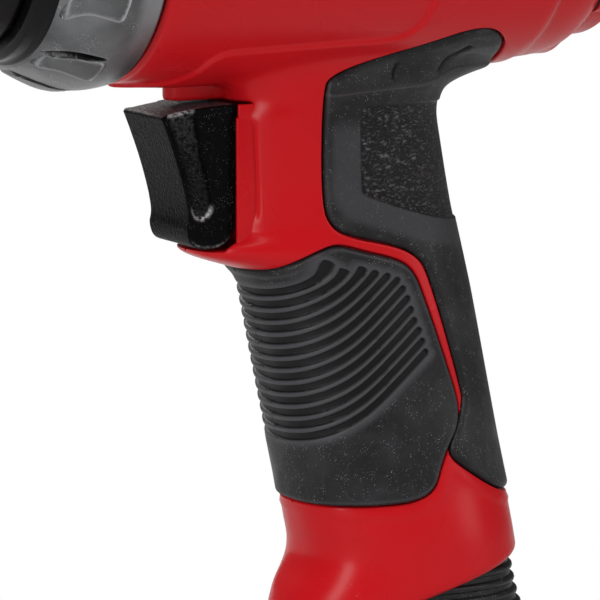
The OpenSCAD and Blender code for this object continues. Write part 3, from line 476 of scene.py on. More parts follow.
def mirrored(points, faces):
    """Both halves of a shape whose near half is given."""
    other = points * (1, -1, 1)
    return np.vstack([points, other]), np.vstack([faces, faces[:, ::-1] + len(points)])


def joined(parts):
    """Several (points, faces) as one; faces may have any number of corners."""
    points, faces, base = [], [], 0
    for p, f in parts:
        points.append(np.asarray(p, float))
        faces.extend([tuple(int(i) + base for i in face) for face in f])
        base += len(p)
    return np.vstack(points), faces


def linked(name, points, edges, faces):
    """A new mesh object from points in millimetres."""
    mesh = bpy.data.meshes.new(name)
    mesh.from_pydata([tuple(p) for p in points * MM], edges, faces)
    obj = bpy.data.objects.new(name, mesh)
    SCENE.collection.objects.link(obj)
    return obj


def make(name, parts, weld=0.02, sharp=None, **marks):
    """A mesh object from parts in millimetres, with its seams welded and named marks for the materials."""
    points, faces = joined(parts)
    obj = linked(name, points, [], faces)
    mesh = obj.data
    for mark, amount in marks.items():
        mesh.attributes.new(mark, "FLOAT", "POINT").data.foreach_set("value", np.asarray(amount, np.float32))
    work = bmesh.new()
    work.from_mesh(mesh)
    if weld:
        bmesh.ops.remove_doubles(work, verts=work.verts, dist=weld * MM)
    bmesh.ops.recalc_face_normals(work, faces=work.faces)
    work.to_mesh(mesh)
    work.free()
    mesh.shade_smooth()
    if sharp:
        mesh.set_sharp_from_angle(angle=math.radians(sharp))
    return obj


def arc_profile(corners):
    """A line of [x, radius, rounding] with each corner rounded off by its own rounding, if it has one."""
    out = []
    pts = np.array([c[:2] for c in corners], float)
    for k, corner in enumerate(corners):
        r = corner[2] if len(corner) > 2 else 0
        if r <= 0 or k in (0, len(corners) - 1):
            out.append(pts[k])
            continue
        a, b = pts[k - 1] - pts[k], pts[k + 1] - pts[k]
        la, lb = np.linalg.norm(a), np.linalg.norm(b)
        cut = min(r, la * 0.49, lb * 0.49)
        p, q = pts[k] + a / la * cut, pts[k] + b / lb * cut
        for t in np.linspace(0, 1, 7):
            out.append((1 - t) ** 2 * p + 2 * t * (1 - t) * pts[k] + t * t * q)
    return np.array(out)


def lathe(corners, count=192):
    """A profile turned about the drive axis."""
    profile = arc_profile(corners)
    angles = np.radians(360.0 * np.arange(count) / count)
    points = np.concatenate([np.stack([profile[:, 0], profile[:, 1] * math.sin(a), -profile[:, 1] * math.cos(a)], -1)
                             for a in angles])
    n = len(profile)
    faces = [(i * n + k, i * n + k + 1, ((i + 1) % count) * n + k + 1, ((i + 1) % count) * n + k)
             for i in range(count) for k in range(n - 1)]
    return points, faces


# ---------- the step along the barrel's side ----------

STEP_LINE = smooth_line([(55.0, -6), (56.0, 1.5), (60, 4.0), (65, 9.0), (67.6, 15.0), (68.6, 26.0),
                         (69.4, 34.0), (72.0, 37.2), (79.3, 37.5), (97.5, 38.6), (107.7, 39.1), (111.4, 40.2),
                         (113.9, 44), (115.0, 48.6), (115.6, 58), (115.7, 120)], 0.8) * (1, math.radians(BARREL_R))
STEP_LOOP = np.vstack([STEP_LINE, [(30, 78), (30, -4)]])
STEP_DEPTH, STEP_GAPS = 0.8, (-0.9, -0.5, -0.2, 0.1, 0.4, 0.7, 1.1)


def barrel_place(p):
    """[x, way round from below] of points on the barrel."""
    return np.stack([p[:, 0], np.arctan2(-p[:, 1], -p[:, 2]) * BARREL_R], -1)


def side_step(p):
    """The shallow step that runs along the barrel: how far the skin lies back."""
    flat = barrel_place(p)
    near = np.hypot(p[:, 1], p[:, 2]) < BARREL_R + 1.6
    gap = signed(flat, STEP_LOOP)
    return np.where(near, STEP_DEPTH * step(gap, -0.5, 0.7), 0)


# ---------- the red housing ----------

SEAT, RED_TUCK = 0.32, 1.9
RIM_ROUNDING, MOUTH_ROUNDING = 1.3, 0.6
STRIP_DEPTH = 0.45


def base_bottom(rounds):
    """How deep the skin goes at each place round the handle, to the sloping underside."""
    out = []
    for r in rounds:
        angle = np.interp(r, round_fine, angle_fine)
        deep = 110.0
        for _ in range(12):
            p = handle_section(np.array([angle]), np.array([deep]))[0]
            z = HEEL[1] + (p[0] - HEEL[0]) * BASE_SLOPE
            deep = -z - DECK
        out.append(deep)
    return np.array(out)


BAY_SIDE, BAY_CORNER, BAY_TOP, BAY_LOW, BAY_BACK = 9.95, 0.7, 4.5, 35.3, 88.4
GUIDE_NEAR, GUIDE_FAR, GUIDE_BACK = 9.66, 10.65, 87.0


def front_round(y, depth):
    """The place round the section where the front face is y from the middle."""
    s = np.clip((y / half_width(depth)) ** (POWER / 2), 0, 1)
    return np.interp(math.pi - np.arcsin(s), angle_fine, round_fine)


bay_edge = smooth_line(
    [(ROUND_END, BAY_TOP), (front_round(BAY_SIDE - BAY_CORNER, 5.0), BAY_TOP), (front_round(BAY_SIDE, 5.0), BAY_TOP)]
    + [(front_round(BAY_SIDE, d), d) for d in (5.3, 6, *np.linspace(8, 33, 12), 34.4, BAY_LOW)]
    + [(front_round(BAY_SIDE - BAY_CORNER, BAY_LOW), BAY_LOW), (ROUND_END, BAY_LOW)], 0.5, 2)

round_rim = np.linspace(0, ROUND_END, 150)
rim_line = np.stack([round_rim, base_bottom(round_rim)], -1)
top_line = np.stack([round_at[::3], np.full(len(round_at[::3]), FAN_TOP)], -1)
if top_line[-1, 0] < ROUND_END:
    top_line = np.vstack([top_line, [(ROUND_END, FAN_TOP)]])

step_x, step_angle = STEP_LINE[:, 0], STEP_LINE[:, 1] / BARREL_R
step_space = around(step_x, barrel_reach(step_x, step_angle), step_angle)


def red_lift(places, p):
    """How far the red skin stands off its plain form."""
    lift = -side_step(p)
    for loop in (FRONT_LOOP, REAR_LOOP):
        gap = signed(places, loop) + SEAT
        lift -= round_over(np.abs(np.minimum(gap, 0)), 0.45) * (gap <= 0)
        lift += 0.3 * ridge(gap, -1.9, 0.5) * step(places[:, 1], 82, 87)
        lift = np.where(gap > 0.02, -RED_TUCK, lift)
    lift -= round_over(distance_to(places, rim_line), RIM_ROUNDING)
    bay, down = distance_to(places, bay_edge), places[:, 1]
    lift -= round_over(bay, MOUTH_ROUNDING)
    return lift - STRIP_DEPTH * ((1 - step(bay, 1.5, 2.3)) * step(down, 7.5, 9.5) * (1 - step(down, 27, 30)))


def seam(edge, start, end, count):
    """Places on the middle line between two depths, without the ends."""
    return np.stack([np.full(count, edge), np.linspace(start, end, count + 2)[1:-1]], -1)


def seam_closed(line):
    """A grip's line closed along the middle line it starts and ends on."""
    edge = 0.0 if line[0, 0] < ROUND_END / 2 else ROUND_END
    start, end = line[-1, 1], line[0, 1]
    count = max(int(abs(end - start) / 0.5), 2)
    return np.vstack([line[1:-1], np.stack([np.full(count + 1, edge), np.linspace(start, end, count + 1)], -1)])


def carried_past(line, far):
    """A grip's line closed beyond the middle line, so that distances from it ignore that line."""
    return np.vstack([line, [(far, line[-1, 1]), (far, line[0, 1])]])


FRONT_LOOP = carried_past(front_line, ROUND_END + 12)
REAR_LOOP = carried_past(rear_line, -12.0)


def red_handle():
    """The skin of the red handle, with rows of points where the grips, the bay, the rim and the step lie."""
    low_front, low_rear = base_bottom([ROUND_END, 0.0])
    loop = np.vstack([top_line, seam(ROUND_END, FAN_TOP, BAY_TOP, 20)[:-1], bay_edge[1:-1],
                      seam(ROUND_END, BAY_LOW, low_front, 110), rim_line[::-1], seam(0.0, low_rear, FAN_TOP, 150)])
    extra = []
    for line in (front_line, rear_line):
        side = inward(line, line)
        extra += alongside(line, *[side * gap for gap in (-1.0, -SEAT - 0.5, -SEAT - 0.3, -SEAT - 0.14, -SEAT - 0.03,
                                                          -SEAT + 0.04, 0.6)])
    for gap in (0.25, 0.6, 1.1, 1.5, 1.9, 2.3, 2.8):
        extra += alongside(bay_edge, gap, -gap)
    extra += [rim_line - (0, gap) for gap in (0.12, 0.35, 0.7, 1.2, 1.8)]
    extra += alongside(from_space(step_space), *STEP_GAPS)
    places, faces = sheet(loop, extra, 1.1)
    return on_skin(places, red_lift(places, look_up(GRID, places))), faces


def red_barrel():
    """The skin of the barrel, opened where the handle's skin joins it."""
    hole = barrel_place(look_up(GRID, top_line))[::-1]
    hole[0, 1] = hole[-1, 1] = 0.0
    top = math.pi * BARREL_R
    corners = [(BARREL_END, 0), (BARREL_END, top), (BARREL_X, top), (BARREL_X, 0)]
    loop = np.vstack([spaced([corners[3], (hole[0, 0], 0)], 1.0)[:-1], hole,
                      spaced([(hole[-1, 0], 0), corners[0]], 1.0)[1:-1],
                      *[spaced(side, 1.2)[:-1] for side in zip(corners, corners[1:])]])
    rows = [BARREL_X + run for run in (0.2, 0.6, 1.1, 1.7, 2.5, 3.7, 5.2)]
    rows += [144, 144.8, 145.3, 145.7, 146.0, 146.4, 147, 149, 151.5, 153, 155, 156, 157, 157.6]
    extra = [spaced([(x, 0.01), (x, top - 0.01)], 1.2) for x in rows]
    places, faces = sheet(loop, extra + alongside(STEP_LINE, *STEP_GAPS), 1.3)
    x, a = places[:, 0], places[:, 1] / BARREL_R
    p = around(x, barrel_reach(x, a), a)
    slope = (barrel_reach(x + 0.05, a) - barrel_reach(x - 0.05, a)) / 0.1
    p = p + unit(around(-slope, 1, a)) * (-side_step(p))[:, None]
    p[np.abs(places[:, 1]) < 1e-6, 1] = 0
    p[np.abs(places[:, 1] - top) < 1e-4, 1] = 0
    return p, faces


def red_parts():
    """All parts of the red moulding."""
    front_r, back_r = float(barrel_radius(BARREL_X)) - STEP_DEPTH, float(barrel_radius(BARREL_END))
    parts = [mirrored(*red_handle()), mirrored(*red_barrel()),
             lathe([(BARREL_X + 3, 26), (BARREL_X, 26), (BARREL_X - 0.02, front_r + 0.8)]),
             lathe([(BARREL_END, back_r + 0.02), (BARREL_END, 15), (BARREL_END - 6, 15)]),
             underside(), bay_walls(), keel()]
    for low, high in ((GUIDE_NEAR, GUIDE_FAR), (-GUIDE_FAR, -GUIDE_NEAR)):
        parts.append(rounded_box((80.3, low, -73.2), (GUIDE_BACK, high, -44.9), 0.25))
        parts.append(rounded_box((80.7, low, -45.4), (GUIDE_BACK, high, -42.2), 0.25))
    return parts


def underside():
    """The closed underside of the base, inside the foot."""
    ring = full_ring(on_skin(rim_line, -RIM_ROUNDING))
    middle, n = ring.mean(0), len(ring)
    shrunk = [middle + (ring - middle) * k for k in (1.0, 0.75, 0.5, 0.25)]
    return np.vstack(shrunk), bands(4, n) + [tuple(range(3 * n, 4 * n))]


def bay_walls():
    """The inside of the trigger bay, from the edge of its mouth inwards."""
    ring = full_ring(on_skin(bay_edge, -MOUTH_ROUNDING))
    back = ring.copy()
    back[:, 0] = BAY_BACK
    n = len(ring)
    return np.vstack([ring, back]), bands(2, n) + [tuple(range(n, 2 * n))]


def keel():
    """The narrow rib under the barrel that reaches over the trigger."""
    half, front, low, top, back = 3.3, 68.7, -41.7, -34.0, 84.0
    bow = [(front + half + half * math.cos(math.radians(a)), half * math.sin(math.radians(a)))
           for a in np.linspace(90, 270, 25)]
    outline = np.array([(back, half), *bow, (back, -half)])
    rings = []
    for z, drawn in ((top, 0), (low + 0.8, 0), (low + 0.45, 0.06), (low + 0.2, 0.2), (low + 0.05, 0.45), (low, 0.8)):
        size = 1 - drawn / half
        along = outline[:, 0]
        x = np.where(along < front + half, front + half + (along - front - half) * size, along)
        rings.append(np.column_stack([x, outline[:, 1] * size, np.full(len(outline), z)]))
    n = len(outline)
    return np.vstack(rings), bands(len(rings), n, False) + [tuple(range((len(rings) - 1) * n, len(rings) * n))]


FOOT_INSET, FIRST_RIB_Z, RIB_PITCH, RIBS = 2.2, -163.97, 2.75, 8
FOOT_HOLES = [(123.5, 0.0, 13.8), (141.5, -9.4, 4.2), (151.0, -7.0, 2.6)]


def foot_ring(z, inset):
    """The section of the foot at a height, as a closed ring that starts at the rear."""
    depth = -z - DECK
    t = np.linspace(0, math.pi, 61)
    ring = full_ring(handle_section(t, np.full(61, depth)))
    out = np.gradient(np.vstack([ring[-1:], ring, ring[:1]]), axis=0)[1:-1]
    way = unit(np.stack([out[:, 1], -out[:, 0], np.zeros(len(out))], -1))
    if (ring + way)[:, 0].max() > ring[:, 0].max():
        way = -way
    return ring + way * inset


def foot_parts():
    """The foot below the base, with holes in its floor for the air inlet, the outlets and the screws."""
    heights = [-138.0, -144, -150, -156, -162, FOOT_Z + 0.5, FOOT_Z]
    rings = [foot_ring(z, FOOT_INSET + (0.5 if z == FOOT_Z else 0)) for z in heights]
    n = len(rings[0])
    parts = [(np.vstack(rings), bands(len(rings), n))]
    half = rings[-1][:n // 2 + 1, :2]
    loop = np.vstack([half, spaced([half[-1], half[0]], 1.5)[1:-1]])
    circles = []
    for x, y, r in FOOT_HOLES:
        turn = np.radians(np.arange(0, 360, 7.5))
        circle = np.stack([x + r * np.cos(turn), y + r * np.sin(turn)], -1)
        if y == 0:
            circle = circle[circle[:, 1] < 0.01]
            circle[np.abs(circle[:, 1]) < 0.01, 1] = -0.0
        circles.append(circle)
    places, faces = sheet(loop, circles, 2.0)
    for x, y, r in FOOT_HOLES:
        middle = places[faces].mean(1)
        faces = faces[np.hypot(middle[:, 0] - x, middle[:, 1] - y) > r * 0.995]
    parts.append(mirrored(np.column_stack([places, np.full(len(places), FOOT_Z)]), faces))
    for (x, y, r), circle in zip(FOOT_HOLES, circles):
        m = len(circle)
        well = np.vstack([np.column_stack([circle, np.full(m, z)]) for z in (FOOT_Z, FOOT_Z + 7)])
        parts.append(mirrored(well, np.array(bands(2, m, y != 0))))
    return parts


# ---------- the soft grips ----------

GROOVES, GROOVE_PITCH, GROOVE_START = 13, 2.58, 45.3
GROOVE_HALF, GROOVE_DEEP = 0.72, 0.75
TUCK, PATCH_DEPTH, TAIL_DEPTH, TAIL_GROOVE_DEPTH = 1.75, 0.42, 0.5, 0.6


def groove_drop(run):
    """How far a groove has climbed at a distance round the handle from the front."""
    return np.interp(run, [0, 4, 8, 11, 14, 18, 22, 26, 30, 40, 60],
                     [0, -0.15, -0.5, -0.95, -1.7, -3.2, -5.2, -7.9, -11.0, -18.5, -33])


def groove_lines():
    """The grooves' middle lines on the skin, from the front to where each one ends."""
    run = np.arange(-6, 52, 0.3)
    smooth = np.convolve(np.pad(groove_drop(np.maximum(run, 0)), 9, "edge"), np.ones(19) / 19, "valid")
    lines = []
    for k in range(GROOVES):
        line = np.stack([ROUND_END - run, GROOVE_START + k * GROOVE_PITCH + smooth], -1)
        clear = np.flatnonzero(signed(line, FRONT_LOOP) > (1.2 if k == 0 else 3.3) + GROOVE_HALF)
        lines.append(line[:clear[-1] + 1])
    return lines


GROOVE_LINES = groove_lines()


def pad_sheet(line, loop, gaps, extra, edge_rounding):
    """A grip's flat mesh, how far each point is inside its edge, and its plain rounded lift off the skin."""
    side = inward(line, loop)
    places, faces = sheet(seam_closed(line), alongside(line, *[side * gap for gap in gaps]) + extra, 0.85)
    gap = signed(places, loop)
    return places, faces, gap, np.where(gap < 0.012, -TUCK, PROUD - round_over(np.maximum(gap, 0), edge_rounding))


def front_grip_parts():
    """The grooved grip, with its marks for painted shade in the grooves and painted highlights on the ridges between
    them and along its edge.
    """
    extra = []
    for groove in GROOVE_LINES:
        own = spaced(groove, 0.45)
        end = own[-1] - own[-2]
        end = end / np.linalg.norm(end)
        across = np.array([-end[1], end[0]])
        for g in (0.0, 0.38, GROOVE_HALF - 0.1, GROOVE_HALF + 0.14, GROOVE_HALF + 0.34):
            extra += alongside(own, g)
            if g:
                extra += alongside(own, -g)
                turn = np.radians(np.arange(-80, 81, 160 / 10))
                extra.append(own[-1] + g * (np.cos(turn)[:, None] * end + np.sin(turn)[:, None] * across))
    places, faces, gap, lift = pad_sheet(front_line, FRONT_LOOP, (0.03, 0.1, 0.22, 0.4, 0.65, 0.95, 1.3, 1.8),
                                         extra, 1.0)
    away = np.min([distance_to(places, groove) for groove in GROOVE_LINES], 0)
    # the groove mask shapes the grooves and also marks them for painted shade
    deep = 1 - step(away, GROOVE_HALF - 0.14, GROOVE_HALF + 0.2)
    near = 1 - step(away, 1.1, 2.6)
    lift = lift - GROOVE_DEEP * deep - 0.1 * near * (1 - deep)
    lift += 0.12 * np.sin(places[:, 1] / 9.0) * step(gap, 1, 5)
    p = on_skin(places, lift)
    p[places[:, 0] > ROUND_END - 1e-5, 1] = 0
    # painted highlights: a bright line just inside the grip's edge, and the ridges between the grooves
    painted_edge_highlight = 0.7 * ridge(gap, 0.75, 0.22)
    return [mirrored(p, faces)], np.tile(deep, 2), np.tile(np.maximum(near * (1 - deep), painted_edge_highlight), 2)


PATCH_LINE = handle_line([(40, 6.4), (19.2, 6.2), (16.0, 5.9), (0.6, 5.7), (-0.3, 6.4), (-3.3, 23.6), (-3.0, 24.3),
                          (1.4, 26.2), (8.3, 28.6), (17.5, 31.3), (40, 32.5)])
TAIL_STEP = handle_line([(-5.4, 3.0), (4.9, 2.3), (12.0, 2.0), (18.1, 1.9), (21.5, 0.6), (24.5, -1.2), (40, -1.6)])


def groove_at(name, places):
    """A short groove of the tail, moved so that its middle shows at an image point."""
    line = handle_line(places)
    return line + from_space([seen_place(IMAGE_POINTS[name], grid_tree)]) - line[len(line) // 2]


TAIL_GROOVES = [groove_at("tail_groove_left", [(9.9, -2.5), (9.4, -0.9), (9.1, 0.4)]),
                groove_at("tail_groove_right", [(26.6, -6.2), (24.6, -4.6), (22.6, -2.8), (21.4, -0.9)])]


PATCH_INNER = PATCH_LINE[off_middle(PATCH_LINE)]
PATCH_LOOP = np.vstack([PATCH_INNER, [(-12, PATCH_INNER[-1, 1]), (-12, PATCH_INNER[0, 1])]])
TAIL_INNER = TAIL_STEP[off_middle(TAIL_STEP)]
TAIL_LOOP = np.vstack([TAIL_INNER, [(-12, TAIL_INNER[-1, 1]), (-12, -40), (60, -40), (60, TAIL_INNER[0, 1])]])


def rear_grip_parts():
    """The padded grip and its leather grained patch, with their marks for painted shade in the tail grooves and
    painted highlights along the tail's crease and beside the patch.
    """
    extra = []
    for gap in (-0.5, -0.25, 0.0, 0.25, 0.5, 0.9):
        extra += [beside(PATCH_INNER, gap), beside(TAIL_INNER, gap)]
    for groove in TAIL_GROOVES:
        extra += alongside(spaced(groove, 0.35), -0.6, -0.35, -0.2, 0, 0.2, 0.35, 0.6)
    places, faces, _, lift = pad_sheet(rear_line, REAR_LOOP, (0.03, 0.1, 0.25, 0.5, 0.8, 1.2, 1.7, 2.3),
                                       extra, 1.5)
    patch = signed(places, PATCH_LOOP)
    lift -= PATCH_DEPTH * step(patch, -0.25, 0.3)
    tail = signed(places, TAIL_LOOP)
    lift -= TAIL_DEPTH * step(tail, -0.3, 0.25) * (1 - step(tail, 1.5, 9))
    # the tail groove mask shapes the grooves and also marks them for painted shade
    deep = 1 - step(np.min([distance_to(places, groove) for groove in TAIL_GROOVES], 0), 0.2, 0.55)
    lift -= TAIL_GROOVE_DEPTH * deep
    # painted highlights: a bright line along the tail's crease and a paler band beside the patch
    crest = 0.9 * ridge(tail, -0.15, 0.22) * (1 - deep)
    painted_edge_highlight = 0.55 * step(patch, -6.8, -5.0) * (1 - step(patch, -0.5, -0.15))
    crest = np.maximum(crest, painted_edge_highlight * step(places[:, 1], 7, 12))
    p = on_skin(places, lift)
    p[places[:, 0] < 1e-5, 1] = 0
    hide = signed(places[faces].mean(1), PATCH_LOOP) > 0.1
    return [mirrored(p, faces[~hide])], [mirrored(p, faces[hide])], np.tile(deep, 2), np.tile(crest, 2)


# ---------- the trigger ----------

TRIGGER_FACE = [(63.7, -44.6), (64.3, -46.0), (65.3, -48.6), (66.9, -53.0), (68.2, -57.2), (69.2, -61.0),
                (69.9, -64.6), (69.9, -66.4), (69.5, -67.6), (69.7, -69.3), (70.4, -70.9), (71.8, -71.8),
                (74.5, -72.1), (77.0, -71.9), (78.8, -70.9), (79.8, -69.4), (80.4, -67.4)]
TRIGGER_TOP = [(80.7, -60), (80.9, -44.9), (81.3, -42.5), (80.6, -42.2), (79, -42.2), (74, -42.5), (70, -42.95),
               (66, -43.55), (64.2, -43.9), (63.75, -44.15)]
TRIGGER_PANEL = [(64.6, -38), (64.8, -44.2), (66.0, -47.4), (67.4, -51.0), (68.6, -54.8), (69.4, -57.9),
                 (70.3, -62.2), (70.9, -64.7), (71.7, -65.7), (73.6, -65.9), (74.9, -64.6), (75.6, -62.4),
                 (74.0, -56.5), (72.7, -51.3), (71.4, -43.3), (71.2, -38)]
TRIGGER_HALF, PANEL_DEPTH, TRIGGER_TAPER = 9.3, 0.9, 0.012


def trigger_parts():
    """The lever: two sides with a sunk panel that opens at the top, and a band round its edge, with marks for painted
    glints on the sides and a painted highlight on the top.
    """
    outline = np.vstack([rounded(TRIGGER_TOP, 2)[:-1], rounded(TRIGGER_FACE, 2)])
    outline = spaced(outline, 0.4, closed=True)
    panel = smooth_line(TRIGGER_PANEL + TRIGGER_PANEL[:1], 0.4, 2)
    extra = [beside(outline, g * s, True) for g in (0.04, 0.12, 0.25, 0.42, 0.62, 0.9) for s in (1, -1)]
    extra += alongside(panel, -0.7, -0.45, -0.2, 0, 0.2, 0.45, 0.7)
    places, faces = sheet(outline, extra, 0.7)
    gap = signed(places, outline)
    well = signed(places, panel)
    y = TRIGGER_HALF - round_over(np.maximum(gap, 0), 0.4) - PANEL_DEPTH * step(well, -0.3, 0.25)
    y -= TRIGGER_TAPER * np.maximum(-43 - places[:, 1], 0)
    cap = np.stack([places[:, 0], -y, places[:, 1]], -1)
    ring = np.array([cap[np.argmin(((places - q) ** 2).sum(1))] for q in outline])
    rows = 25
    band = np.concatenate([ring * (1, -k, 1) for k in np.linspace(-1, 1, rows)])
    # painted glints: bright lines along the panel's lower end and top and along the lever's bottom edge, and faint
    # sparkle in the panel
    painted_glint = ridge(well, 0.1, 0.3) * step(-places[:, 1], 62.5, 64.5)
    painted_glint += 0.6 * step(well, 0, 0.5) * (1 - step(gap, 0.5, 1.0)) * step(places[:, 1], -46, -45)
    painted_glint += 0.3 * ridge(gap, 0.45, 0.2) * step(-places[:, 1], 69.5, 71)
    painted_glint += 0.022 * step(well, 0.2, 0.7) * (1 + 1.5 * step(places[:, 1], -54, -46))
    painted_glint = np.clip(painted_glint, 0, 1)
    # painted highlight on the band's top face
    painted_top_highlight = 0.25 * step(band[:, 2], -44.4, -43.9)
    return [mirrored(cap, faces), (band, bands(rows, len(outline)))], np.concatenate([painted_glint, painted_glint, painted_top_highlight])


def rounded_box(low, high, radius):
    """A box with rounded edges."""
    low, high = np.array(low, float), np.array(high, float)
    work = bmesh.new()
    bmesh.ops.create_cube(work, size=1.0)
    for v in work.verts:
        v.co = Vector((low + high) / 2 + np.array(v.co) * (high - low))
    bmesh.ops.bevel(work, geom=work.edges[:], offset=radius, segments=4, profile=0.5, affect="EDGES")
    work.verts.index_update()
    points = np.array([v.co[:] for v in work.verts])
    faces = [tuple(v.index for v in f.verts) for f in work.faces]
    work.free()
    return points, faces


# ---------- the hammer case ----------

PADS = 12
SECTOR = 360.0 / PADS
SECTOR_START = 12.0
PAD_HEIGHT, SLIT_DEPTH, NOTCH_DEPTH = 0.66, 1.5, 0.7


def case_radius(x):
    """The cone of the case between its rims, as in the CAD model."""
    t = np.radians(90 * (x - RIM_X) / (JOINT_X - RIM_X))
    return 32.7 + 4.9 * np.sin(t) + 1.6 * np.sin(2 * t)


def case_sector():
    """One part of the case's cone with its cast pad, notch and slit, and its marks for painted shade in the slit and
    the pad and painted highlights on their rims.
    """
    k = math.radians(36.5)
    top = SECTOR * k
    x0, x1 = 32.2, 51.9
    corners = [(x0, 0), (x1, 0), (x1, top), (x0, top), (x0, 0)]
    loop = np.vstack([spaced(side, 0.5)[:-1] for side in zip(corners, corners[1:])])

    def line(places, times):
        return smooth_line([(x, (way - SECTOR_START) * k) for x, way in places], 0.35, times)

    pad = line([(33.4, 21.0), (34.6, 23.6), (37.1, 26.6), (41.0, 26.0), (43.6, 25.2), (44.6, 30.0), (44.7, 35.8),
                (43.0, 37.2), (39.8, 36.9), (37.1, 35.8), (34.8, 33.4), (33.4, 31.0), (33.4, 21.0)], 1)
    slit_mid = line([(33.3, 32.0), (34.8, 34.2), (37.1, 36.8), (39.8, 38.1), (43.9, 38.3)], 3)
    notch = line([(33.2, 22.4), (33.5, 25.0), (34.2, 30.6)], 1)
    extra = alongside(pad, -0.9, -0.6, -0.35, -0.15, 0, 0.15, 0.35)
    extra += alongside(slit_mid, -1.1, -0.85, -0.6, -0.4, -0.2, 0, 0.2, 0.4, 0.6, 0.85, 1.1)
    extra += alongside(notch, -0.6, -0.3, 0, 0.3, 0.6)
    places, faces = sheet(loop, extra, 0.55)
    run = np.linspace(0, 1, len(slit_mid))
    away = np.hypot(places[:, None, 0] - slit_mid[None, :, 0], places[:, None, 1] - slit_mid[None, :, 1])
    width = 0.84 * np.sin(math.pi * (0.06 + 0.88 * run[away.argmin(1)])) ** 0.7
    away = away.min(1)
    slit = 1 - step(away, width * 0.6, width + 0.1)
    lips = 0.13 * ridge(away - width, 0.3, 0.2)
    slope = np.clip((37.6 - SECTOR_START - places[:, 1] / k) / 11.5, 0, 1)
    end = step(44.9 - places[:, 0], 0, 1.2)
    inner = signed(places, pad)
    rim = 0.12 * ridge(inner, 0.22, 0.2)
    lift = (PAD_HEIGHT * slope ** 0.7 * end + rim) * step(inner, -0.2, 0.16) - SLIT_DEPTH * slit + lips
    lift -= NOTCH_DEPTH * (1 - step(distance_to(places, notch), 0.3, 0.75))
    # painted shade: the slit and its walls are marked black and the pad's inside darker
    painted_pad_shade = 0.3 * step(inner, 0.5, 1.0)
    painted_slit_shadow = 1 - step(away, width + 0.1, width + 0.3)
    radius = case_radius(places[:, 0]) + lift
    a = np.radians(np.where(np.abs(places[:, 1]) < 1e-5, 0, places[:, 1] / k))
    # painted highlights: the pad's rim, the slit's lips, the bevel at the pad's end and a band near the joint
    crest = np.clip(0.6 * rim / 0.12 * (inner > -0.3) + lips / 0.13 * 0.25, 0, 1)
    crest = np.maximum(crest, step(inner, -0.1, 0.1) * (1 - step(inner, 0.5, 0.9)) * step(places[:, 0], 42.8, 43.6))
    crest = np.maximum(crest, 0.28 * step(places[:, 0], 46.0, 48.8))
    return around(places[:, 0], radius, a), faces, np.maximum(painted_slit_shadow, painted_pad_shade), crest


# ---------- node trees ----------


def add(tree, kind, inputs=(), **settings):
    """A new node with its settings; an input takes a number, a colour or another node's socket."""
    node = tree.nodes.new(kind)
    for key, value in settings.items():
        setattr(node, key, value)
    for key, value in dict(inputs).items():
        if isinstance(value, bpy.types.NodeSocket):
            tree.links.new(value, node.inputs[key])
        else:
            node.inputs[key].default_value = value
    return node


def new_group(name, kind, inputs, outputs):
    """A new node group with its sockets. Returns it with its inner input sockets and its output node."""
    group = bpy.data.node_groups.new(name, kind)
    for label, socket, *value in inputs:
        made = group.interface.new_socket(name=label, in_out="INPUT", socket_type="NodeSocket" + socket)
        if value:
            made.default_value = value[0]
    for label, socket in outputs:
        group.interface.new_socket(name=label, in_out="OUTPUT", socket_type="NodeSocket" + socket)
    return group, add(group, "NodeGroupInput").outputs, add(group, "NodeGroupOutput").inputs


# ---------- Geometry Nodes: what repeats ----------


def painted(group, geometry, values, result):
    """Ends a group: the finished geometry gets its material."""
    paint = add(group, "GeometryNodeSetMaterial", {"Geometry": geometry, "Material": values["Material"]})
    group.links.new(paint.outputs["Geometry"], result[0])
    return group


def turned_copies():
    """Copies of a piece at equal turns about the drive axis."""
    group, values, result = new_group("turned_copies", "GeometryNodeTree", [
        ("Piece", "Object"), ("Copies", "Int", 4), ("First turn", "Float", 0.0), ("Weld", "Float", 0.0),
        ("Material", "Material")], [("Geometry", "Geometry")])
    piece = add(group, "GeometryNodeObjectInfo", {"Object": values["Piece"]}, transform_space="ORIGINAL")
    spots = add(group, "GeometryNodeMeshLine", {"Offset": (0, 0, 0), "Count": values["Copies"]}, mode="OFFSET")
    index = add(group, "GeometryNodeInputIndex").outputs[0]
    share = add(group, "ShaderNodeMath", {0: index, 1: values["Copies"]}, operation="DIVIDE").outputs[0]
    turn = add(group, "ShaderNodeMath", {0: share, 1: 2 * math.pi, 2: values["First turn"]}, operation="MULTIPLY_ADD")
    way = add(group, "ShaderNodeCombineXYZ", {"X": turn.outputs[0]}).outputs[0]
    spread = add(group, "GeometryNodeInstanceOnPoints", {
        "Points": spots.outputs["Mesh"], "Instance": piece.outputs["Geometry"], "Rotation": way})
    real = add(group, "GeometryNodeRealizeInstances", {"Geometry": spread.outputs["Instances"]})
    weld = add(group, "GeometryNodeMergeByDistance", {"Geometry": real.outputs[0], "Distance": values["Weld"]})
    return painted(group, weld.outputs[0], values, result)


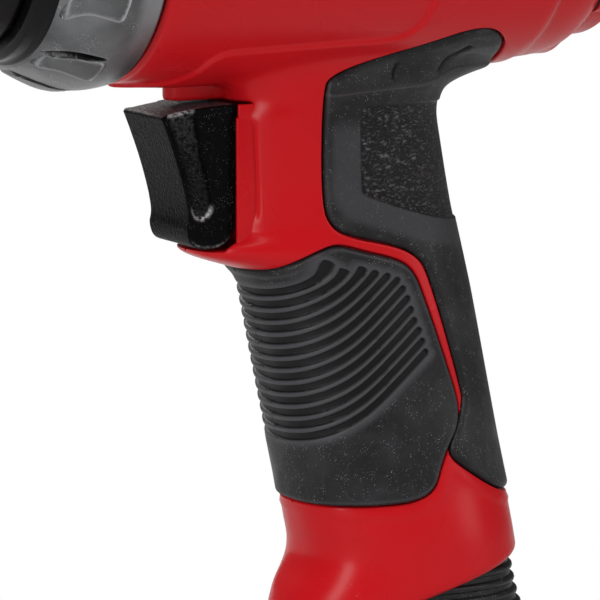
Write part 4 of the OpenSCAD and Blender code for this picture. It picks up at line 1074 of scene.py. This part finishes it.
def ribs_along_lines():
    """A rounded rib along every line of a piece."""
    group, values, result = new_group("ribs_along_lines", "GeometryNodeTree", [
        ("Lines", "Object"), ("Rib radius", "Float", 0.0008), ("Sides", "Int", 10), ("Material", "Material")],
        [("Geometry", "Geometry")])
    lines = add(group, "GeometryNodeObjectInfo", {"Object": values["Lines"]}, transform_space="ORIGINAL")
    curve = add(group, "GeometryNodeMeshToCurve", {"Mesh": lines.outputs["Geometry"]})
    profile = add(group, "GeometryNodeCurvePrimitiveCircle", {
        "Radius": values["Rib radius"], "Resolution": values["Sides"]})
    sweep = add(group, "GeometryNodeCurveToMesh", {
        "Curve": curve.outputs["Curve"], "Profile Curve": profile.outputs["Curve"]})
    real = add(group, "GeometryNodeRealizeInstances", {"Geometry": sweep.outputs["Mesh"]})
    return painted(group, real.outputs[0], values, result)


def closed_lines(name, rings):
    """A piece of edges only: one closed line for every ring of points."""
    edges, base = [], 0
    for ring in rings:
        edges += [(base + i, base + (i + 1) % len(ring)) for i in range(len(ring))]
        base += len(ring)
    return linked(name, np.vstack(rings), edges, [])


def grown(name, group, source, **values):
    """A plain mesh object that a geometry node group makes from a source piece, which is then removed."""
    holder = bpy.data.objects.new(name, bpy.data.meshes.new(name + "_seed"))
    SCENE.collection.objects.link(holder)
    modifier = holder.modifiers.new("grow", "NODES")
    modifier.node_group = group
    values = {label.replace("_", " "): value for label, value in values.items()}
    for item in group.interface.items_tree:
        if item.in_out == "INPUT":
            modifier[item.identifier] = source if item.socket_type == "NodeSocketObject" else values[item.name]
    holder.update_tag()
    bpy.context.view_layer.update()
    made = bpy.data.meshes.new_from_object(holder.evaluated_get(bpy.context.evaluated_depsgraph_get()))
    holder.modifiers.clear()
    holder.data = made
    made.name = name
    made.shade_smooth()
    bpy.data.objects.remove(source)
    return holder


# ---------- surface effects shared by the materials ----------


def noise(tree, place, scale, detail=3.0, rough=0.5, output=0):
    """Clouds of a scale: their strength, or their colour."""
    return add(tree, "ShaderNodeTexNoise", {
        "Vector": place, "Scale": scale, "Detail": detail, "Roughness": rough}).outputs[output]


def ramp(tree, value, low, high):
    """Maps a value from low..high to 0..1."""
    return add(tree, "ShaderNodeMapRange", {"Value": value, "From Min": low, "From Max": high}).outputs[0]


def calc(tree, kind, *values):
    """One step of arithmetic on sockets and numbers."""
    return add(tree, "ShaderNodeMath", dict(enumerate(values)), operation=kind).outputs[0]


def bump(tree, height, strength, distance, before=None):
    """A height as relief, on top of the relief before it."""
    inputs = {"Height": height, "Strength": strength, "Distance": distance}
    if before is not None:
        inputs["Normal"] = before
    return add(tree, "ShaderNodeBump", inputs).outputs[0]


def specks(tree, place, cells, far, near, patches, low, high):
    """Small dots in some of the cells; patches are the scale, detail and roughness of where they gather."""
    cell = add(tree, "ShaderNodeTexVoronoi", {"Vector": place, "Scale": cells}).outputs["Distance"]
    return calc(tree, "MULTIPLY", ramp(tree, cell, far, near), ramp(tree, noise(tree, place, *patches), low, high))


def surface(name, outputs, more=()):
    """A new shader group that works from a place. Returns the group, the place and a way to set its outputs."""
    group, values, result = new_group(name, "ShaderNodeTree", [("Place", "Vector"), *more],
                                      [(label, "Vector" if label == "Normal" else "Float") for label in outputs])
    return group, values["Place"], lambda label, socket: group.links.new(socket, result[label])


def moulded_surface():
    """Slight waviness and dust of a gloss moulding."""
    group, place, out = surface("moulded_surface", ("Shade", "Rough", "Normal"))
    wide = noise(group, place, 42, 2.0)
    peel = noise(group, place, 900, 2.0)
    out("Shade", specks(group, place, 520, 0.10, 0.04, (160, 1.0), 0.62, 0.7))
    out("Rough", calc(group, "MULTIPLY_ADD", wide, 0.10, 0.22))
    out("Normal", bump(group, peel, 0.06, 0.0001, bump(group, wide, 0.06, 0.0012)))
    return group


def rubber_surface():
    """Fine stipple, pale dust specks and handling marks of a soft grip."""
    group, place, out = surface("rubber_surface", ("Speck", "Mottle", "Normal"))
    out("Speck", specks(group, place, 2300, 0.24, 0.10, (520, 2.0, 0.6), 0.46, 0.62))
    out("Mottle", ramp(group, noise(group, place, 75, 4.0, 0.6), 0.42, 0.66))
    out("Normal", bump(group, noise(group, place, 2600, 3.0, 0.65), 0.35, 0.00012))
    return group


def leather_surface():
    """The wrinkled grain of the patch in the rear grip."""
    group, place, out = surface("leather_surface", ("Height", "Normal"), [("Normal", "Vector")])
    warp = noise(group, place, 420, 3.0, 0.6, "Color")
    mixed = add(group, "ShaderNodeMix", {"Factor": 0.0022}, data_type="VECTOR")
    group.links.new(place, mixed.inputs[4])
    group.links.new(warp, mixed.inputs[5])
    stretch = add(group, "ShaderNodeMapping", {
        "Vector": mixed.outputs[1], "Rotation": (0, 0.6, 0), "Scale": (0.55, 1, 1.25)})
    wrinkle = noise(group, stretch.outputs[0], 1050, 3.5, 0.6)
    fold = ramp(group, calc(group, "ABSOLUTE", calc(group, "SUBTRACT", wrinkle, 0.5)), 0.0, 0.15)
    height = calc(group, "MULTIPLY_ADD", noise(group, place, 1300, 4.0, 0.6), 0.7, fold)
    out("Height", height)
    out("Normal", bump(group, height, 1.0, 0.0008, place.node.outputs["Normal"]))
    return group


def cast_surface():
    """Blasted casting: fine grain with bright specks."""
    group, place, out = surface("cast_surface", ("Speck", "Mottle", "Normal"))
    out("Speck", specks(group, place, 2300, 0.34, 0.12, (190, 3.0, 0.6), 0.5, 0.72))
    out("Mottle", ramp(group, noise(group, place, 60, 3.0, 0.55), 0.3, 0.7))
    out("Normal", bump(group, noise(group, place, 1800, 4.0, 0.7), 0.45, 0.00018))
    return group


def machined_surface():
    """Turning marks and oil mottling of plain metal."""
    group, place, out = surface("machined_surface", ("Shade", "Rough", "Normal"))
    along = add(group, "ShaderNodeMapping", {"Vector": place, "Scale": (4000, 120, 120)}).outputs[0]
    cloud = noise(group, place, 130)
    out("Shade", cloud)
    out("Rough", calc(group, "MULTIPLY_ADD", cloud, 0.22, 0.2))
    out("Normal", bump(group, noise(group, along, 1.0, 3.0, 0.6), 0.25, 0.00004))
    return group


MOULDED, RUBBER, HIDE, CAST, MACHINED = (
    moulded_surface(), rubber_surface(), leather_surface(), cast_surface(), machined_surface())

# ---------- materials ----------


def effect(tree, group, place, **inputs):
    """The outputs of a surface effect at a place."""
    return add(tree, "ShaderNodeGroup", {"Place": place, **inputs}, node_tree=group).outputs


def blend(tree, factor, first, second):
    """A mix of two colours; the first may be another mix."""
    node = add(tree, "ShaderNodeMix", data_type="RGBA")
    node.inputs[7].default_value = (*second, 1)
    tree.links.new(factor, node.inputs["Factor"])
    if isinstance(first, tuple):
        node.inputs[6].default_value = (*first, 1)
    else:
        tree.links.new(first, node.inputs[6])
    return node.outputs[2]


def scaled(colour, share):
    """A colour made paler or darker."""
    return tuple(v * share for v in colour)


def marked(tree, name):
    """How strongly a piece's own mark holds at a place: 0 where the piece has no such mark."""
    return add(tree, "ShaderNodeAttribute", attribute_name=name).outputs["Fac"]


def new_material(name, group):
    """A new material. Returns it, its tree, its place, the outputs of its surface effect and its shader's inputs."""
    mat = bpy.data.materials.new(name)
    mat.use_nodes = True
    tree = mat.node_tree
    place = add(tree, "ShaderNodeTexCoord").outputs["Object"]
    return mat, tree, place, effect(tree, group, place), tree.nodes["Principled BSDF"].inputs


def wire(tree, shader, **values):
    """Sets the shader's inputs: numbers stay on them and sockets are linked."""
    names = {"colour": "Base Color", "rough": "Roughness", "metal": "Metallic", "shine": "Specular IOR Level",
             "normal": "Normal"}
    for key, value in values.items():
        if isinstance(value, bpy.types.NodeSocket):
            tree.links.new(value, shader[names[key]])
        else:
            shader[names[key]].default_value = value


def clouded(name, group, dark, pale, **values):
    """A material of two clouded colours, such as a gloss moulding or turned metal."""
    mat, tree, _, skin, shader = new_material(name, group)
    wire(tree, shader, colour=blend(tree, skin["Shade"], dark, pale), rough=skin["Rough"],
         normal=skin["Normal"], **values)
    return mat


def shaded(tree, skin, dark, pale, speck, crest, deep):
    """Mottled and speckled colour, with painted highlights where the piece is marked for them and painted shade in
    its deep places. Returns the deep mark too.
    """
    colour = blend(tree, skin["Speck"], blend(tree, skin["Mottle"], dark, pale), speck)
    colour = blend(tree, marked(tree, "crest"), colour, crest)
    mark = marked(tree, "deep")
    return blend(tree, mark, colour, deep), mark


def soft_black(name, dark, pale, rough):
    """Rubber or satin plastic; painted shade, darker, where the piece is marked deep, and painted highlights, paler,
    where it is marked for them.
    """
    mat, tree, _, skin, shader = new_material(name, RUBBER)
    # painted highlight colour is pale times 2.2 and painted shade colour is dark times 0.25
    colour, _ = shaded(tree, skin, dark, pale, (0.28, 0.28, 0.29), scaled(pale, 2.2), scaled(dark, 0.25))
    wire(tree, shader, colour=colour, normal=skin["Normal"], shine=0.26,
         rough=calc(tree, "MULTIPLY_ADD", skin["Mottle"], -0.12, rough + 0.06))
    return mat


def leather(name):
    """The grained patch: painted shade in its folds and painted highlights on its paler tops."""
    mat, tree, place, skin, shader = new_material(name, RUBBER)
    hide = effect(tree, HIDE, place, Normal=skin["Normal"])
    # colour by the grain's height: painted shade in the folds, painted highlight on the tops
    colour = blend(tree, ramp(tree, hide["Height"], 0.7, 1.6), (0.004, 0.004, 0.005), (0.13, 0.128, 0.132))
    wire(tree, shader, colour=colour, normal=hide["Normal"], shine=0.4,
         rough=calc(tree, "MULTIPLY_ADD", skin["Mottle"], -0.12, 0.48))
    return mat


def cast_metal(name, dark, pale, metallic, rough):
    """Cast or forged metal; painted shade, black and less metallic, where the piece is marked deep, and painted
    highlights, bright, where it is marked for them.
    """
    mat, tree, _, skin, shader = new_material(name, CAST)
    # painted highlight colour 0.5 grey and painted shade colour near black, with the metal turned down in the painted
    # shade
    colour, deep = shaded(tree, skin, dark, pale, scaled(pale, 2.4), (0.5, 0.5, 0.52), (0.002, 0.002, 0.002))
    wire(tree, shader, colour=colour, normal=skin["Normal"], rough=rough,
         metal=calc(tree, "MULTIPLY_ADD", deep, -0.6, metallic))
    return mat


def pebbled_black(name):
    """The trigger's plastic: pebbled, with painted glints: pale specks all over and small bright spots where the
    piece is marked for painted highlights.
    """
    mat, tree, place, skin, shader = new_material(name, RUBBER)
    pits = noise(tree, place, 1400, 3.0, 0.6)
    painted_sparkle = calc(tree, "MULTIPLY", marked(tree, "crest"), ramp(tree, pits, 0.35, 0.6))
    # painted glints: the shared pale specks here stand for small glints
    colour = blend(tree, skin["Speck"], (0.0015, 0.0015, 0.0018), (0.14, 0.14, 0.145))
    wire(tree, shader, colour=blend(tree, painted_sparkle, colour, (0.55, 0.55, 0.56)), rough=0.4, shine=0.045,
         normal=bump(tree, pits, 0.8, 0.0005, skin["Normal"]))
    return mat


GLOSS, METAL = {"shine": 0.14}, {"metal": 1.0}
RED = clouded("gloss_red_moulding", MOULDED, (0.52, 0.007, 0.011), (0.62, 0.09, 0.09), **GLOSS)
GRIP = soft_black("soft_grip_rubber", (0.008, 0.008, 0.009), (0.024, 0.024, 0.026), 0.46)
LEATHER = leather("leather_patch_rubber")
SEAL = soft_black("seal_rubber", (0.010, 0.010, 0.010), (0.016, 0.016, 0.016), 0.6)
CASE = cast_metal("cast_gunmetal", (0.075, 0.077, 0.08), (0.22, 0.225, 0.23), 0.9, 0.33)
NOSE = clouded("gloss_black_moulding", MOULDED, (0.003, 0.003, 0.0035), (0.04, 0.04, 0.04), **GLOSS)
TRIGGER = pebbled_black("pebbled_black_trigger")
BLACK = soft_black("satin_black_plastic", (0.006, 0.006, 0.0065), (0.012, 0.012, 0.0125), 0.4)
STEEL = clouded("ground_steel", MACHINED, (0.32, 0.32, 0.33), (0.45, 0.45, 0.46), **METAL)
FORGED = cast_metal("forged_steel", (0.10, 0.10, 0.105), (0.18, 0.18, 0.185), 1.0, 0.4)
BRIGHT = clouded("bright_steel", MACHINED, (0.55, 0.55, 0.56), (0.68, 0.68, 0.69), **METAL)
BRONZE = clouded("turned_bronze", MACHINED, (0.42, 0.26, 0.10), (0.58, 0.38, 0.17), **METAL)
DARK_STEEL = cast_metal("black_oxide_steel", (0.02, 0.02, 0.021), (0.04, 0.04, 0.042), 0.9, 0.35)
PLATED = clouded("plated_steel", MACHINED, (0.50, 0.50, 0.50), (0.66, 0.65, 0.62), **METAL)
RESIN = soft_black("vane_resin", (0.20, 0.11, 0.05), (0.30, 0.17, 0.08), 0.5)
FELT = soft_black("grey_felt", (0.35, 0.30, 0.22), (0.48, 0.42, 0.33), 0.95)

BY_SLOT = {"red_plastic": RED, "soft_grip": GRIP, "trigger_plastic": TRIGGER, "case_metal": CASE,
           "nose_rubber": NOSE, "seal_rubber": SEAL, "drive_steel": STEEL, "forged_steel": FORGED,
           "bearing_steel": BRIGHT, "motor_steel": STEEL, "bronze": BRONZE, "screw_steel": DARK_STEEL,
           "spring_steel": BRIGHT, "vane_resin": RESIN, "black_plastic": BLACK, "inlet_steel": PLATED, "felt": FELT}
for part in frame["record"]["subparts"]:
    node = frame["nodes"][part["node"]]
    node.data.materials.clear()
    node.data.materials.append(BY_SLOT[part["material_slot"]])

# ---------- building the pieces ----------


def place_piece(obj, slot, nodes=(), body="tool", material=None):
    """Paints a piece as its slot says, or with its own material, hangs it on the body it rides on and hides the CAD
    nodes it replaces.
    """
    obj.data.materials.clear()
    obj.data.materials.append(material or BY_SLOT[slot])
    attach(obj, body)
    if nodes:
        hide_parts(*nodes)
    return obj


WELD_FINE = 0.001
housing = place_piece(make("housing_shell", red_parts(), 0.03, 50), "red_plastic", ["housing"])
grooved_part, deep, crest = front_grip_parts()
front_grip = place_piece(make("grooved_front_grip", grooved_part, 0.01, 60, deep=deep, crest=crest),
                         "soft_grip", ["front_grip"])
soft_part, hide_part, deep, crest = rear_grip_parts()
rear_grip = place_piece(make("padded_rear_grip", soft_part, 0.01, 60, deep=deep, crest=crest),
                        "soft_grip", ["rear_grip"])
leather_patch = place_piece(make("leather_grained_patch", hide_part, 0.01, 60), "soft_grip", material=LEATHER)
lever_parts, painted_glints = trigger_parts()
trigger = place_piece(make("trigger_lever", lever_parts, 0.015, 50, crest=painted_glints), "trigger_plastic",
                      ["trigger"], "trigger_slide")

points, faces, deep, crest = case_sector()
one_pad = make("case_sector_pattern", [(points, faces)], 0.0, None, deep=deep, crest=crest)
case_skin = place_piece(grown("case_skin", turned_copies(), one_pad, Copies=PADS,
                              First_turn=math.radians(-SECTOR_START), Weld=0.00001, Material=CASE), "case_metal")
NOSE_PROFILE = [(7.2, 13.5), (6.0, 14.2, 0.5), (6.0, 16.4, 0.8), (CASE_X, 16.4, 0.5), (CASE_X, 31.2, 1.0),
                (31.2, 31.2, 0.2), (RIM_X, 32.5, 0.35), (32.35, float(case_radius(32.35)))]
BACK_PROFILE = [(51.75, float(case_radius(51.75))), (JOINT_X, 37.5, 0.3), (JOINT_X, 34.0)]
COLLAR_PROFILE = [(31.85, 31.4), (31.85, 32.62, 0.15), (31.2, 32.62, 0.3), (30.6, 31.75, 0.3), (27.9, 31.75, 0.4),
                  (27.05, 30.6, 0.4), (27.05, 27.0)]
BUMPER_PROFILE = [(26.0, 16.45), (8.2, 16.45, 0.4), (8.0, 22.6, 1.0), (9.2, 26.4, 2.0), (12.6, 28.9, 3.0),
                  (15.4, 28.8, 0.6), (16.0, 27.9, 0.5), (17.0, 27.9, 0.5), (17.6, 28.8, 0.6), (25.6, 28.9, 1.0),
                  (26.8, 28.1, 0.5), (26.8, 20.0)]
case_ends = place_piece(make("case_nose_and_rim", [lathe(NOSE_PROFILE), lathe(BACK_PROFILE)], WELD_FINE, 40),
                        "case_metal", ["hammer_case"])
collar = place_piece(make("nose_collar_band", [lathe(COLLAR_PROFILE)], WELD_FINE, 45), "nose_rubber")
place_piece(make("nose_bumper_ring", [lathe(BUMPER_PROFILE)], WELD_FINE, 45), "nose_rubber",
            ["nose_bumper"])
place_piece(make("foot_body", foot_parts(), 0.004, 50), "black_plastic", ["exhaust_deflector"])
rib_lines = closed_lines("foot_rib_lines", [foot_ring(FIRST_RIB_Z + k * RIB_PITCH, FOOT_INSET + 0.1)
                                            for k in range(RIBS)])
place_piece(grown("foot_ribs", ribs_along_lines(), rib_lines, Rib_radius=0.0009, Sides=12, Material=BLACK),
            "black_plastic")

# ---------- light and floor ----------


def softbox(name, place, size, power, target=(0.1, 0, -0.07)):
    """A rectangular area light that faces its target."""
    light = bpy.data.lights.new(name, "AREA")
    light.shape, light.size, light.size_y = "RECTANGLE", *size
    light.energy = power
    obj = bpy.data.objects.new(name, light)
    SCENE.collection.objects.link(obj)
    obj.location = place
    obj.rotation_mode = "QUATERNION"
    obj.rotation_quaternion = (Vector(target) - Vector(place)).to_track_quat("-Z", "Y")


softbox("overhead_softbox", (0.0, -0.25, 1.0), (0.8, 0.8), 11)
softbox("left_softbox", (-1.05, -0.75, 0.25), (0.35, 1.0), 11)
softbox("right_softbox", (1.0, -0.9, 0.3), (0.3, 0.9), 4.5)
softbox("low_fill", (-0.3, -0.8, -0.75), (0.9, 0.4), 0.7)
softbox("floor_wash_behind", (0.1, 0.9, 0.5), (0.6, 0.4), 8, (0.1, 0.25, -0.175))

SKY_LIGHT = 0.12
world = bpy.data.worlds.new("studio")
world.use_nodes = True
SCENE.world = world
sky = world.node_tree
backdrop = sky.nodes["Background"].inputs
backdrop["Color"].default_value = (1, 1, 1, 1)
seen = add(sky, "ShaderNodeLightPath").outputs["Is Camera Ray"]
sky.links.new(add(sky, "ShaderNodeMix", {"Factor": seen, 2: SKY_LIGHT, 3: 1.0}, data_type="FLOAT").outputs[0],
              backdrop["Strength"])

low = START_BOX[0][2] - 0.0005
floor = linked("floor", np.array([(-3, -3, low), (3, -3, low), (3, 3, low), (-3, 3, low)]) / MM, [], [(0, 1, 2, 3)])
pale_floor = bpy.data.materials.new("pale_floor")
pale_floor.use_nodes = True
tree = pale_floor.node_tree
paper = tree.nodes["Principled BSDF"]
paper.inputs["Base Color"].default_value = (0.55, 0.55, 0.55, 1)
paper.inputs["Roughness"].default_value = 0.7
glow = add(tree, "ShaderNodeEmission", {"Strength": 1.0})
seen = add(tree, "ShaderNodeLightPath").outputs["Is Camera Ray"]
either = add(tree, "ShaderNodeMixShader", {0: seen, 1: paper.outputs[0], 2: glow.outputs[0]})
tree.links.new(either.outputs[0], tree.nodes["Material Output"].inputs["Surface"])
floor.data.materials.append(pale_floor)
SCENE.view_settings.view_transform = "Standard"

FINISHED = {obj: np.array([v.co[:] for v in obj.data.vertices]) / MM
            for obj in (housing, front_grip, rear_grip, leather_patch, trigger, case_skin, case_ends, collar)}
whole_tree = BVHTree.FromPolygons(*map(list, joined(
    [(at, [tuple(f.vertices) for f in obj.data.polygons]) for obj, at in FINISHED.items()])))
SAME_HEIGHT, SAME_ACROSS, REACH = 3, 4, 40


def shows(place):
    """True where nothing stands between the camera and a place."""
    way = Vector(place) - Vector(EYE)
    return whole_tree.ray_cast(Vector(EYE), way.normalized(), way.length - 0.5)[0] is None


def miss(name, places, side):
    """How far in x and y a thing shows from its image point, which is on a line or on one edge of the thing."""
    x, y = IMAGE_POINTS[name]
    view = shown_at(places)
    away = np.hypot(*(view - (x, y)).T)
    across = side in ("left", "right")
    band = np.abs(view[:, 1] - y) < SAME_HEIGHT if across else np.abs(view[:, 0] - x) < SAME_ACROSS
    kept = [k for k in np.flatnonzero((band | (side == "line")) & (away < REACH)) if shows(places[k])]
    if not kept:
        return [None, None]
    if side == "line":
        return [round(float(v), 1) for v in view[min(kept, key=lambda k: away[k])] - (x, y)]
    edge = view[kept, 0 if across else 1]
    gap = round(float((edge.min() if side == "left" else edge.max()) - (x if across else y)), 1)
    return [gap, 0.0] if across else [0.0, gap]


joint_ring = lathe([(JOINT_X, 37.5), (BARREL_X, 37.4)], 720)[0]
misses = {
    "trigger_front_top": miss("trigger_front_top", FINISHED[trigger], "left"),
    "trigger_front_low": miss("trigger_front_low", FINISHED[trigger], "left"),
    "trigger_bottom": miss("trigger_bottom", FINISHED[trigger], "low"),
    "keel_front": miss("keel_front", FINISHED[housing], "left"),
    "case_joint": miss("case_joint", joint_ring, "line"),
    "case_front_low": miss("case_front_low", FINISHED[case_skin], "low"),
    "chin_front": miss("chin_front", FINISHED[housing], "low"),
    "front_grip_top": miss("front_grip_top", on_skin(front_line), "line"),
    "front_grip_right": miss("front_grip_right", FINISHED[front_grip], "right"),
    "front_grip_bottom": miss("front_grip_bottom", FINISHED[front_grip], "low"),
    "first_groove": miss("first_groove", on_skin(GROOVE_LINES[0], 0), "line"),
    "patch_top": miss("patch_top", on_skin(PATCH_INNER), "line"),
    "patch_low": miss("patch_low", on_skin(PATCH_INNER), "line"),
    "rear_grip_side": miss("rear_grip_side", FINISHED[rear_grip], "right"),
    "rear_grip_tip": miss("rear_grip_tip", FINISHED[rear_grip], "right"),
    "base_right": miss("base_right", FINISHED[housing], "right"),
    "base_left": miss("base_left", FINISHED[housing], "left"),
    "tail_groove_left": miss("tail_groove_left", on_skin(TAIL_GROOVES[0]), "line"),
    "tail_groove_right": miss("tail_groove_right", on_skin(TAIL_GROOVES[1]), "line")}
